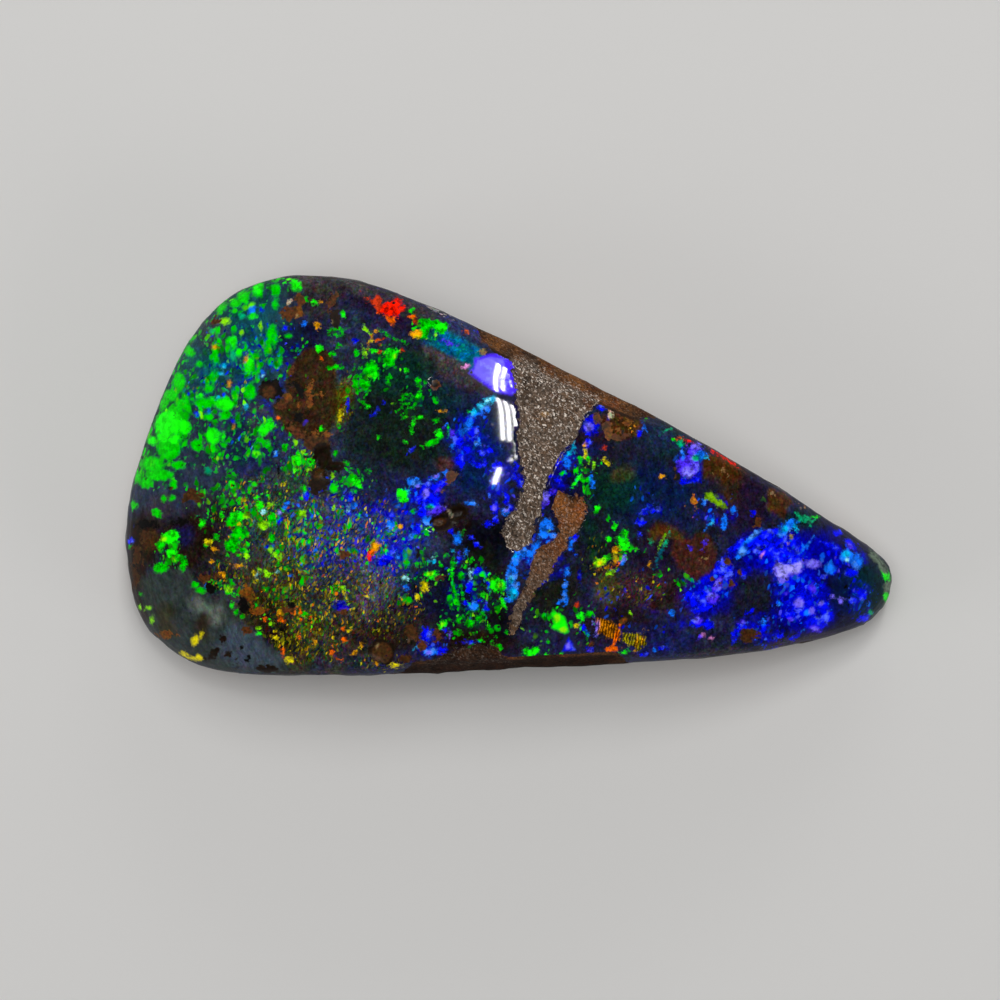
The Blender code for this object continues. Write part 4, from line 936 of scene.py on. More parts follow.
# Painting. Every colour is laid on the mesh's own points, and made linear for the lamps

drawOrder = ("tealBlue", "deepBlue", "blue", "violet", "skyBlue", "seaGreen", "cyan", "lilac",
             "paleLilac", "green", "vividGreen", "lime", "ember", "gold", "orange", "red",
             "yellow", "pink", "lipGrey", "paleCyan")
edgeReach = 8.0      # pixels that an edge value of 1 stands for

# A fade says from where to where something comes in or goes out: in radii of an oval where only
# ovals are drawn, otherwise in pixels, and in mm where it runs down the side
brush = {
    "groundFade": (0.55, 1.35),
    "groundRagged": 0.7,
    "stainSpacing": 4.0,
    "stainRagged": 7.0,
    "stainStrength": 0.92,
    "stainSoftness": {"potch": 5.0, "potchPale": 6.0, "potchBlue": 7.0, "potchOlive": 5.0,
                      "potchBrown": 5.0, "amberVeil": 4.0},
    "stainSoftnessElse": 2.0,
    # how much of the small flecks a stain hides
    "stainCover": {"potch": 0.97, "potchPale": 0.0, "potchBlue": 0.0, "potchOlive": 0.0,
                   "potchBrown": 0.0, "brownWindow": 0.72, "amberNodule": 0.95,
                   "redBrownDisc": 0.85, "brownKnob": 0.9, "bevelFoot": 0.8, "amberVeil": 0.5,
                   "upperBrown": 0.6},
    "stainCoverElse": 0.8,
    "calmPotch": 0.7,
    "calmFade": (0.7, 1.2),
    "calmShapeFade": (-5.0, -2.0),
    "fleckFade": (0.35, 1.25),
    "shapeRim": 0.8,
    "ribFade": (-3.0, 0.0),
    "grainEnd": (0.1, 0.5),
    "flashEnd": 0.45,
    "flashEndAtTip": 0.7,            # further, over the next part of x
    "tipFade": (12.5, 14.0),
    "flashEndRagged": 0.6,
    "flashEndFade": 0.9,
    "flashDrop": 1.2,
}


def linearColour(name):
    share = np.array(palette[name], float) / 255.0
    return np.where(share <= 0.04045, share / 12.92, ((share + 0.055) / 1.055) ** 2.4)


def ovalRadius(spots, column, row, width, height, turn=0.0):
    # 1 on the oval's edge. A turn is anticlockwise, as the picture shows it
    angle = math.radians(turn)
    dx, dy = spots[:, 0] - column, row - spots[:, 1]
    along = (dx * math.cos(angle) + dy * math.sin(angle)) / (width / 2)
    across = (dy * math.cos(angle) - dx * math.sin(angle)) / (height / 2)
    return np.hypot(along, across)


def cameraHeight():
    # mm above the stone's widest line, where the picture is as wide as frameWidth
    return studio["frameWidth"] * studio["lens"] / studio["sensor"]


def seenFromCamera(points):
    # column and row at which the camera sees each point, in mm
    height = cameraHeight()
    scale = picture["pixelsPerMm"] * height / (height + form["widestHeight"] - points[:, 2])
    return np.stack([picture["middle"] + (points[:, 0] - studio["aim"][0]) * scale,
                     picture["middle"] - (points[:, 1] - studio["aim"][1]) * scale], axis=1)


def paintGround(spots):
    ground = np.tile(linearColour("slateNavy"), (len(spots), 1))
    ragged = brush["groundRagged"] * (shapeNoise(*spots.T, "ground") - 0.5)
    for blobs in grounds.values():
        for name, strength, *oval in blobs:
            radius = ovalRadius(spots, *oval) + ragged
            share = strength * (1.0 - smoothStep(*brush["groundFade"], radius))
            ground += share[:, None] * (linearColour(name) - ground)
    return ground


def paintStains(spots, ground, flecks):
    # lays the stains on the ground, takes the flecks off them and returns how calm they are
    ragged = brush["stainRagged"] * (shapeNoise(*spots.T, "stain") - 0.5)
    calm = np.zeros(len(spots))
    for key, (name, knots) in stains.items():
        reach = signedReach(spots, closedCurve(knots, brush["stainSpacing"])) + ragged
        soft = brush["stainSoftness"].get(key, brush["stainSoftnessElse"])
        share = smoothStep(-soft, soft, reach)[:, None]
        ground += brush["stainStrength"] * share * (linearColour(name) - ground)
        flecks *= 1.0 - share * brush["stainCover"].get(key, brush["stainCoverElse"])
        if key == "potch":
            calm = share[:, 0] * brush["calmPotch"]
    return calm


def paintFlecks(spots):
    kinds = ("warm", "green", "blue")
    amounts = np.zeros((len(spots), 3))
    for kind, share, *oval in fleckZones:
        near = share * (1.0 - smoothStep(*brush["fleckFade"], ovalRadius(spots, *oval)))
        k = kinds.index(kind)
        amounts[:, k] = np.maximum(amounts[:, k], near)
    return amounts


class Sheet:
    # one layer of shapes: how far inside the nearest one a point is, and its colour
    def __init__(self, count):
        self.reach = np.full(count, -edgeReach)
        self.colour = np.zeros((count, 3))

    def lay(self, reach, name):
        paint, rim = linearColour(name), brush["shapeRim"]
        inside = smoothStep(-rim, rim, reach)[:, None]
        self.colour += inside * (paint - self.colour)
        nearest = (self.reach < -rim) & (reach > self.reach)
        self.colour[nearest & (reach < rim)] = paint
        self.reach = np.maximum(self.reach, reach)

    def oval(self, spots, name, oval):
        self.lay((1.0 - ovalRadius(spots, *oval)) * min(oval[2], oval[3]) / 2, name)

    def edge(self):
        return np.clip(0.5 + self.reach / edgeReach, 0.0, 1.0)


def paintFlashes(spots):
    sheet = Sheet(len(spots))
    ribs = np.zeros(len(spots))
    calm = np.zeros(len(spots))
    for key, (name, knots) in flashShapes.items():
        reach = signedReach(spots, np.array(knots, float))
        sheet.lay(reach, name)
        if key in ribbedShapes:
            ribs = np.maximum(ribs, smoothStep(*brush["ribFade"], reach))
        if key in calmShapes:
            calm = np.maximum(calm, smoothStep(*brush["calmShapeFade"], reach))
    for region in flashes.values():
        for name in drawOrder:
            for oval in region.get(name, []):
                sheet.oval(spots, name, oval)
    for share, *oval in calmZones:
        near = share * (1.0 - smoothStep(*brush["calmFade"], ovalRadius(spots, *oval)))
        calm = np.maximum(calm, near)
    return sheet, ribs, calm


def paintGrains(spots):
    sheet = Sheet(len(spots))
    for name, *oval in grains:
        sheet.oval(spots, name, oval)
    return sheet


# Lengths in mm
ironstone = {
    "colour": "darkIron",
    "rustyFade": (0.42, 0.62),
    "rustyShare": 0.75,
    "noiseLean": 0.6,            # the rust's noise runs on over the rim
    # colours at the top and at the foot of each patch
    "patchColours": {"vein": ("sandstone", "sandstone"), "band": ("ochre", "sandstone"),
                     "lowerRock": ("wallFoot", "darkIron")},
    "patchFade": (-0.1, 0.05),
    "bandFade": (0.0, -6.0),     # where along y the band goes from the one to the other
    "sparkle": {"vein": 0.9, "band": 0.25, "lowerRock": 0.1},
    "ledgeSparkle": 0.10,
    "rimRise": 0.25,             # the rim's height is taken this much above the roll's end
    "rimFade": (-0.55, -0.05),   # the patches fade out past the rim, with this much fray,
    "rimFray": 0.5,
    "sideFade": (1.1, 0.5),      # and down the side
    "sideFray": 0.6,
    "spotFade": (0.5, 1.2),
    "spotShare": 0.75,
    "seam": 1.35,                # of opal seen on the side
    "seamWander": 1.1,
    "seamTongues": 0.5,
    "seamAtLedge": 1.15,         # share of the seam that a ledge takes away
    "seamTurn": 9.0,             # mm of noise for a turn of 1 radian round the stone
    "seamRim": 0.12,             # it begins within this of the rim
    "backHeight": 0.9,           # below this all is ironstone
    "ledgeEdge": 0.02,
    "paleFade": (0.35, 0.65),
    "paleStretch": 1.2,
}
# softer and darker places in the bare rock: colour, column, row, width, height, turn
rockSpots = [
    ("soot", 570, 496, 10, 9, 0), ("tan", 545, 414, 10, 6, -10), ("rust", 554, 395, 9, 7, 0),
    ("darkBrown", 526, 380, 9, 14, -20), ("rust", 588, 404, 10, 16, 35),
    ("darkBrown", 578, 389, 36, 5, -26), ("rust", 557, 470, 8, 12, 30),
    ("tan", 553, 368, 14, 5, -28), ("darkBrown", 514, 524, 8, 8, 0),
    ("darkBrown", 572, 497, 9, 9, 0),
]


def paintRock(points, spots, plan, rimReach):
    # where the ironstone shows, how far inside it a point is, and its colour
    rock = ironstone
    x, y, z = plan[:, 0], plan[:, 1], points[:, 2]
    reach = np.full(len(points), -1.0)
    colour = np.tile(linearColour(rock["colour"]), (len(points), 1))
    lean = rock["noiseLean"] * z
    rusty = smoothStep(*rock["rustyFade"], shapeNoise(x + lean, y - lean, "rust"))
    colour += (rock["rustyShare"] * rusty)[:, None] * (linearColour("wallBrown") - colour)
    sparkle = np.zeros(len(points))
    # the patches of the face fade out down the side
    fray = shapeNoise(x, y - z, "fray") - 0.5
    rimHeight = polishedHeight(plan, np.zeros(len(plan))) + rock["rimRise"]
    onFace = smoothStep(*rock["rimFade"], rimReach + rock["rimFray"] * fray)
    onFace = onFace * smoothStep(*rock["sideFade"], rimHeight - z + rock["sideFray"] * fray)
    for key, (depth, knots) in rockPatches.items():
        inside = rockReach(plan, knots)
        share = (smoothStep(*rock["patchFade"], inside) * onFace)[:, None]
        top, foot = rock["patchColours"][key]
        fall = smoothStep(*rock["bandFade"], y)[:, None] if key == "band" else 0.5
        paint = linearColour(top) * (1 - fall) + linearColour(foot) * fall
        colour += share * (paint - colour)
        sparkle = np.maximum(sparkle, share[:, 0] * rock["sparkle"][key])
        reach = np.maximum(reach, inside)
    for name, *oval in rockSpots:
        near = 1.0 - smoothStep(*rock["spotFade"], ovalRadius(spots, *oval))
        colour += (rock["spotShare"] * near)[:, None] * (linearColour(name) - colour)
    # the seam of opal runs on down the side, and is thin where a ledge of rock shows
    upperSide = onUpperSide(x, y)
    ledge = np.maximum(band(x, form["upperLedge"][1]) * upperSide,
                       band(x, form["lowerLedge"][1]) * ~upperSide)
    around = np.arctan2(y, x) * rock["seamTurn"]
    wander = rock["seamWander"] * (shapeNoise(around, z, "wander") - 0.5)
    tongues = rock["seamTongues"] * (shapeNoise(around, z, "tongues") - 0.5)
    seam = rock["seam"] * (1.0 + wander) * (1.0 - rock["seamAtLedge"] * ledge) + tongues
    below = np.where(rimReach < rock["seamRim"], (rimHeight - seam) - z, -1.0)
    back = np.where(z < rock["backHeight"], 1.0, -1.0)
    reach = np.maximum(reach, np.maximum(below, back))
    onLedge = smoothStep(rock["ledgeEdge"], -rock["ledgeEdge"], rimReach) * ledge
    upper = onLedge * (y > 0.0)
    pale = smoothStep(*rock["paleFade"], shapeNoise(x * rock["paleStretch"], z + y, "pale"))
    colour += (pale * upper)[:, None] * (linearColour("wallBrown") - colour)
    colour += (onLedge * (y < 0.0))[:, None] * (linearColour("wallFoot") - colour)
    sparkle = np.maximum(sparkle, rock["ledgeSparkle"] * upper)
    return reach * picture["pixelsPerMm"], colour, sparkle


def setNumbers(mesh, name, values):
    layer = mesh.attributes.new(name, "FLOAT", "POINT")
    layer.data.foreach_set("value", np.ascontiguousarray(values, dtype=np.float32))


def setColours(mesh, name, values):
    layer = mesh.attributes.new(name, "FLOAT_COLOR", "POINT")
    flat = np.ones((len(values), 4), dtype=np.float32)
    flat[:, :3] = values
    layer.data.foreach_set("color", flat.ravel())


def paintStone(stone, plan, rimReach):
    mesh = stone.data
    points = readPoints(mesh) / mm
    spots = seenFromCamera(points)
    flecks = paintFlecks(spots)
    ground = paintGround(spots)
    calmStains = paintStains(spots, ground, flecks)
    flashSheet, ribs, calm = paintFlashes(spots)
    grainSheet = paintGrains(spots)
    # no grains down the side, and flashes end a little way down it, further at the tip
    depth = polishedHeight(plan, np.zeros(len(plan))) - points[:, 2]
    grainSheet.reach -= edgeReach * smoothStep(*brush["grainEnd"], depth)
    end = brush["flashEnd"] + brush["flashEndAtTip"] * smoothStep(*brush["tipFade"], plan[:, 0])
    end = end + brush["flashEndRagged"] * (shapeNoise(*plan.T, "flashEnd") - 0.5)
    drop = smoothStep(end, end + brush["flashEndFade"], depth)
    flashSheet.reach -= brush["flashDrop"] * edgeReach * drop
    rockInside, rockColour, sparkle = paintRock(points, spots, plan, rimReach)
    for name, values in {"ground": ground, "flecks": flecks, "flashColour": flashSheet.colour,
                         "grainColour": grainSheet.colour, "rockColour": rockColour}.items():
        setColours(mesh, name, values)
    for name, values in {"flashEdge": flashSheet.edge(), "ribs": ribs,
                         "calm": np.maximum(calmStains, calm), "grainEdge": grainSheet.edge(),
                         "rockEdge": np.clip(0.5 + rockInside / edgeReach, 0.0, 1.0),
                         "sparkle": sparkle}.items():
        setNumbers(mesh, name, values)
    print("stone painted")


# Node helpers

def addNode(tree, kind, inputs, **settings):
    node = tree.nodes.new(kind)
    for name, value in settings.items():
        setattr(node, name, value)
    for key, value in inputs.items():
        if isinstance(value, bpy.types.NodeSocket):
            tree.links.new(value, node.inputs[key])
        else:
            node.inputs[key].default_value = value
    return node


def reckon(tree, operation, *values):
    return addNode(tree, "ShaderNodeMath", dict(enumerate(values)), operation=operation).outputs[0]


def softStep(tree, value, low, high):
    return addNode(tree, "ShaderNodeMapRange", {0: value, 1: low, 2: high},
                   interpolation_type="SMOOTHSTEP").outputs[0]


def spread(tree, value, low, high, least, most):
    return addNode(tree, "ShaderNodeMapRange",
                   {0: value, 1: low, 2: high, 3: least, 4: most}).outputs[0]


def blend(tree, share, first, second):
    return addNode(tree, "ShaderNodeMix", {0: share, 6: first, 7: second},
                   data_type="RGBA").outputs[2]


def blendNumber(tree, share, first, second):
    return addNode(tree, "ShaderNodeMix", {0: share, 2: first, 3: second}).outputs[0]


def vectorMath(tree, operation, *values):
    return addNode(tree, "ShaderNodeVectorMath", dict(enumerate(values)),
                   operation=operation).outputs[0]


def dim(tree, colour, strength):
    # a colour times a number
    return addNode(tree, "ShaderNodeVectorMath", {0: colour, 3: strength},
                   operation="SCALE").outputs[0]


def tint(tree, colour, factor):
    return vectorMath(tree, "MULTIPLY", colour, factor)


def leaning(tree, place, turn, stretch, offset=0.0):
    # drawn out by the stretch along an upright line that leans left by the turn, in degrees
    return addNode(tree, "ShaderNodeMapping", {
        "Vector": place, "Location": (offset,) * 3, "Rotation": (0.0, 0.0, math.radians(turn)),
        "Scale": (1.0, stretch, 1.0)}, vector_type="TEXTURE").outputs[0]


def centred(tree, noise):
    return vectorMath(tree, "SUBTRACT", noise, (0.5, 0.5, 0.5))


def nudged(tree, place, size, amount):
    # the place, moved about by soft noise so that what is drawn there bends
    noise = addNode(tree, "ShaderNodeTexNoise",
                    {"Vector": place, "Scale": 1.0 / size, "Detail": 2.0}).outputs["Color"]
    return vectorMath(tree, "ADD", dim(tree, centred(tree, noise), amount), place)


def hueNoise(tree, place, size, strength):
    # a colour to multiply by, each channel wandering about 1
    noise = addNode(tree, "ShaderNodeTexNoise", {
        "Vector": place, "Scale": 1.0 / size, "Detail": 3.0, "Roughness": 0.65}).outputs["Color"]
    wander = dim(tree, centred(tree, noise), strength)
    return vectorMath(tree, "ADD", wander, (1.0, 1.0, 1.0))


def colourRamp(tree, value, stops):
    node = addNode(tree, "ShaderNodeValToRGB", {0: value})
    elements = node.color_ramp.elements
    while len(elements) < len(stops):
        elements.new(0.5)
    for element, (position, name) in zip(elements, stops):
        element.position = position
        element.color = (*linearColour(name), 1.0)
    return node.outputs[0]


def painted(tree, name, output="Fac"):
    return addNode(tree, "ShaderNodeAttribute", {}, attribute_name=name).outputs[output]


speckles = {
    # noise in the materials: size of its lumps in mm, detail, roughness, offset
    "cloud": (0.22, 4.0, 0.62, 1.3),
    "dust": (0.055, 1.0, 0.6, 2.9),
    "fibre": (0.08, 2.0, 0.6, 3.7),
    "clusters": (0.42, 3.0, 0.6, 5.2),
    "greenCloud": (0.20, 3.0, 0.62, 21.3),
    "blueCloud": (0.26, 3.0, 0.62, 27.1),
    "ragged": (0.10, 3.0, 0.7, 8.8),
    "crumple": (0.12, 3.0, 0.7, 4.4),
    "sheen": (0.17, 3.0, 0.55, 6.6),
    "grainLump": (0.20, 2.0, 0.6, 15.5),
    "rockLump": (0.30, 3.0, 0.65, 9.1),
    "rockPatch": (0.45, 2.0, 0.6, 19.7),
    "grit": (0.034, 2.0, 0.7, 14.4),
    # the heights are kept simple, as the bump looks them up three times
    "fineHeight": (0.05, 1.0, 0.6, 14.4),
    "coarseHeight": (0.30, 2.0, 0.65, 9.1),
}


def speckle(tree, place, kind):
    size, detail, roughness, offset = speckles[kind]
    shifted = vectorMath(tree, "ADD", place, (offset, offset, offset))
    return addNode(tree, "ShaderNodeTexNoise", {
        "Vector": shifted, "Scale": 0.5 / size, "Detail": detail, "Roughness": roughness,
    }).outputs[0]


fleckKinds = {
    # size in mm, stretch along a line leaning by the turn, offset, share of the cells lit for an
    # amount of 1, how far they gather in clumps, how much they cover, the light that an amount
    # of 1 adds, and colours from the commonest to the rarest. Some melt into their neighbours,
    # and some are fewer where it is calm
    "blueDust": {"channel": 2, "size": 0.14, "stretch": 1.6, "turn": -20, "offset": 17.9,
                 "share": 0.9, "clump": 1.5, "cover": 0.95, "lift": 0.25,
                 "stops": [(0.0, "deepBlue"), (0.4, "blue"), (0.8, "skyBlue"), (1.0, "violet")]},
    "greenGrain": {"channel": 1, "size": 0.23, "stretch": 1.5, "turn": 4, "offset": 3.1,
                   "melt": 0.35, "share": 0.95, "clump": 1.6, "cover": 1.0, "lift": 0.30,
                   "stops": [(0.0, "green"), (0.5, "green"), (0.80, "vividGreen"), (1.0, "lime")]},
    "greenDust": {"channel": 1, "size": 0.11, "stretch": 1.5, "turn": -25, "offset": 7.7,
                  "share": 0.72, "clump": 1.5, "cover": 0.95, "lift": 0.15, "calmed": 0.8,
                  "stops": [(0.0, "seaGreen"), (0.2, "green"), (0.85, "vividGreen"),
                            (1.0, "lime")]},
    "warmDust": {"channel": 0, "size": 0.078, "stretch": 2.1, "turn": -22, "offset": 12.3,
                 "share": 0.95, "clump": 0.9, "cover": 0.9, "lift": 0.05,
                 "stops": [(0.0, "oliveGreen"), (0.3, "mustard"), (0.55, "olive"),
                           (0.75, "yellow"), (0.93, "gold"), (1.0, "orange")]},
}
fleckLook = {
    "leastAmount": 0.10,             # flecks set in over this much of an amount
    "litFade": (-0.01, 0.04),
    "radius": (0.25, 0.42),          # in cells: what a whole amount adds, and the least
    "edgeFade": (-0.20, 0.26),
    "light": 0.12,                   # of the dullest
    "lightRange": 0.85,
    "lightPower": 1.5,
}
cloudKinds = {
    # soft colour between the flecks, from the dull to the bright
    "greenCloud": {"channel": 1, "colours": ("deepTeal", "deepGreen")},
    "blueCloud": {"channel": 2, "colours": ("deepBlue", "blue")},
}
cloudLook = {
    "amountLift": 0.45,
    "drop": 0.28,
    "edgeFade": (0.28, 0.62),
    "amountFade": (0.0, 0.3),
    "brightFade": (0.42, 0.75),
    "cover": 0.8,
}


def fleckLayer(tree, place, clusters, amounts, calm, kind):
    # ragged grains in random cells. The more of them, the closer they join
    look = fleckKinds[kind]
    amount = amounts.outputs[look["channel"]]
    slanted = leaning(tree, place, look["turn"], look["stretch"], look["offset"])
    cells = addNode(tree, "ShaderNodeTexVoronoi", {"Vector": slanted, "Scale": 1.0 / look["size"]},
                    feature="SMOOTH_F1" if "melt" in look else "F1")
    if "melt" in look:
        cells.inputs["Smoothness"].default_value = look["melt"]
    chance = addNode(tree, "ShaderNodeSeparateColor", {0: cells.outputs["Color"]})
    nearby = reckon(tree, "MULTIPLY_ADD", clusters, look["clump"], reckon(
        tree, "MULTIPLY_ADD", amount, look["share"], -0.5 * look["clump"]))
    nearby = reckon(tree, "MULTIPLY", nearby, softStep(tree, amount, 0.0, fleckLook["leastAmount"]))
    lit = softStep(tree, reckon(tree, "SUBTRACT", nearby, chance.outputs[0]), *fleckLook["litFade"])
    radius = reckon(tree, "MULTIPLY_ADD", nearby, *fleckLook["radius"])
    gap = reckon(tree, "SUBTRACT", radius, cells.outputs["Distance"])
    share = reckon(tree, "MULTIPLY", softStep(tree, gap, *fleckLook["edgeFade"]), lit)
    share = reckon(tree, "MULTIPLY", share, look["cover"])
    if "calmed" in look:
        share = reckon(tree, "MULTIPLY", share, spread(tree, calm, 0.0, 1.0, 1.0,
                                                       1.0 - look["calmed"]))
    colour = colourRamp(tree, chance.outputs[1], look["stops"])
    base = reckon(tree, "MULTIPLY_ADD", amount, look["lift"], fleckLook["light"])
    strength = reckon(tree, "MULTIPLY_ADD", reckon(
        tree, "POWER", chance.outputs[2], fleckLook["lightPower"]), fleckLook["lightRange"], base)
    return share, dim(tree, colour, strength)


def cloudLayer(tree, place, amounts, kind):
    look = cloudKinds[kind]
    amount = amounts.outputs[look["channel"]]
    puff = reckon(tree, "SUBTRACT", speckle(tree, place, kind), cloudLook["drop"])
    level = reckon(tree, "MULTIPLY_ADD", amount, cloudLook["amountLift"], puff)
    share = reckon(tree, "MULTIPLY", softStep(tree, level, *cloudLook["edgeFade"]),
                   softStep(tree, amount, *cloudLook["amountFade"]))
    low, high = (linearColour(name) for name in look["colours"])
    bright = softStep(tree, level, *cloudLook["brightFade"])
    colour = blend(tree, bright, (*low, 1.0), (*high, 1.0))
    return reckon(tree, "MULTIPLY", share, cloudLook["cover"]), colour


# Lengths in mm
opal = {
    "bend": (0.22, 0.16),            # size and amount of the small wander and of the wide one
    "curve": (1.1, 0.7),
    "hueSize": 0.25,
    "hueStrength": (1.9, 0.4),       # what liveliness adds, and the least
    "fibreLean": (20.0, 5.0),        # turn and stretch
    "groundGlow": 0.25,
    "holeFade": (0.34, 0.45),
    "holeLight": 0.42,
    "ribLean": -10.0,
    "sheenFade": (0.50, 0.74),
    "sheen": (0.09, 0.15, 0.0),      # what a pale place adds to a blue flash
    "grainRagged": 1.5,
    "grainLumps": 2.0,
    "grainFade": (0.38, 0.64),
    "grainHue": (0.16, 2.0),
    "rockRagged": 1.8,
    "rockFade": (0.44, 0.56),
    "bumpFade": (0.46, 0.54),
    "ior": 1.47,
}
gloss = {"opal": 0.04, "grain": 0.42, "rock": 0.78, "bump": 0.035, "glow": 0.28}
mosaic = {
    "size": 0.065, "stretch": 2.2, "turn": -15, "offset": 33.3, "contrast": (2.4, 2.8, 3.0),
    "least": 0.22, "warmFade": (0.0, 0.32), "warmShare": 0.50, "livelyShare": 0.26,
}
contrasts = {
    # what a value goes from and to, and the strengths that these give
    "fibre": (0.38, 0.66, 0.82, 1.4),
    "cloud": (0.3, 0.7, 0.6, 1.45),
    "cloudWhereCalm": (0.3, 0.7, 0.85, 1.2),
    "dust": (0.3, 0.7, 0.6, 1.4),
    "dustOnClouds": (0.3, 0.7, 0.5, 1.3),
    "dustOnGrains": (0.3, 0.7, 0.5, 1.5),
    "crumple": (0.37, 0.60, 0.25, 1.2),
    "crumpleWhereCalm": (0.35, 0.65, 0.85, 1.1),
    "flashEdge": (0.40, 0.90, 0.70, 1.15),
    "ribWander": (0.3, 0.7, -0.9, 0.9),
    "ribs": (-0.7, 0.9, 0.22, 1.2),
    # calmness smooths a flash's edge and widens the fade of it, from the one to the other
    "edgeRagged": (0.0, 1.0, 1.5, 0.5),
    "edgeFrom": (0.0, 1.0, 0.36, 0.30),
    "edgeTo": (0.0, 1.0, 0.66, 0.80),
    "rustBySparkle": (0.0, 1.0, 1.0, 0.35),
    "rockLump": (0.3, 0.7, 0.55, 1.45),
    "rockGrain": (0.0, 1.0, 0.45, 1.55),
    "grit": (0.32, 0.62, 0.45, 1.35),
}


def contrast(tree, value, kind):
    return spread(tree, value, *contrasts[kind])


def groundLook(tree, place, curved, amounts, calm, cloud, dust):
    # cloudy in shade and hue, with fibres and a fine dust of its own
    lively = reckon(tree, "SUBTRACT", 1.0, calm)
    wander = reckon(tree, "MULTIPLY_ADD", lively, *opal["hueStrength"])
    colour = tint(tree, painted(tree, "ground", "Color"),
                  hueNoise(tree, place, opal["hueSize"], wander))
    fibre = speckle(tree, leaning(tree, curved, *opal["fibreLean"]), "fibre")
    colour = dim(tree, colour, contrast(tree, fibre, "fibre"))
    colour = dim(tree, colour, blendNumber(tree, calm, contrast(tree, cloud, "cloud"),
                                           contrast(tree, cloud, "cloudWhereCalm")))
    colour = dim(tree, colour, blendNumber(tree, calm, contrast(tree, dust, "dust"), 1.0))
    # where the warm dust lies, every grain of the ground has a hue of its own
    cells = addNode(tree, "ShaderNodeTexVoronoi", {
        "Vector": leaning(tree, curved, mosaic["turn"], mosaic["stretch"], mosaic["offset"]),
        "Scale": 1.0 / mosaic["size"]}).outputs["Color"]
    hues = vectorMath(tree, "MULTIPLY_ADD", tint(tree, cells, cells), mosaic["contrast"],
                      (mosaic["least"],) * 3)
    mixed = reckon(tree, "MULTIPLY_ADD", softStep(tree, amounts.outputs[0], *mosaic["warmFade"]),
                   mosaic["warmShare"], reckon(tree, "MULTIPLY", lively, mosaic["livelyShare"]))
    return tint(tree, colour, blend(tree, mixed, (1.0, 1.0, 1.0, 1.0), hues))


def flashLook(tree, bent, calm, cloud, stray):
    # crumpled like foil, with soft ragged edges and dark gaps
    edge = reckon(tree, "MULTIPLY_ADD", stray, contrast(tree, calm, "edgeRagged"),
                  painted(tree, "flashEdge"))
    share = softStep(tree, edge, contrast(tree, calm, "edgeFrom"), contrast(tree, calm, "edgeTo"))
    holes = reckon(tree, "MAXIMUM", softStep(tree, cloud, *opal["holeFade"]), calm)
    share = reckon(tree, "MULTIPLY", share, blendNumber(tree, holes, opal["holeLight"], 1.0))
    crumple = speckle(tree, bent, "crumple")
    strength = reckon(tree, "MULTIPLY", contrast(tree, crumple, "crumple"),
                      contrast(tree, edge, "flashEdge"))
    strength = blendNumber(tree, calm, strength, contrast(tree, crumple, "crumpleWhereCalm"))
    # the ribbed bands
    across = leaning(tree, bent, opal["ribLean"], 1.0)
    across = addNode(tree, "ShaderNodeSeparateXYZ", {0: across}).outputs[0]
    wave = reckon(tree, "SINE", reckon(tree, "MULTIPLY", across, 2.0 * math.pi / ribSpacing))
    wave = reckon(tree, "ADD", wave, contrast(tree, crumple, "ribWander"))
    ribs = blendNumber(tree, painted(tree, "ribs"), 1.0, contrast(tree, wave, "ribs"))
    strength = reckon(tree, "MULTIPLY", strength, ribs)
    flake = dim(tree, painted(tree, "flashColour", "Color"), strength)
    # blue flashes turn paler in places
    blueness = addNode(tree, "ShaderNodeSeparateColor", {0: flake}).outputs[2]
    sheen = softStep(tree, speckle(tree, bent, "sheen"), *opal["sheenFade"])
    paler = dim(tree, opal["sheen"], reckon(tree, "MULTIPLY", blueness, sheen))
    return share, vectorMath(tree, "ADD", flake, paler)


def grainLook(tree, place, stray, dust):
    # brown grains and dark holes
    lump = reckon(tree, "SUBTRACT", speckle(tree, place, "grainLump"), 0.5)
    edge = reckon(tree, "MULTIPLY_ADD", stray, opal["grainRagged"], painted(tree, "grainEdge"))
    edge = reckon(tree, "MULTIPLY_ADD", lump, opal["grainLumps"], edge)
    share = softStep(tree, edge, *opal["grainFade"])
    crumb = tint(tree, painted(tree, "grainColour", "Color"),
                 hueNoise(tree, place, *opal["grainHue"]))
    return share, dim(tree, crumb, contrast(tree, dust, "dustOnGrains"))


rockGrains = {
    "rust": (1.0, 0.72, 0.42),       # what rust leaves of the rock's red, green and blue
    "rustFade": (0.46, 0.62),
    "lean": (40.0, 1.5),             # turn and stretch
    "perMm": 17.0,
    "glintFade": (0.48, 0.95),
    "gritFade": (0.44, 0.60),
    "glint": (0.74, 0.66, 0.58, 1.0),
}


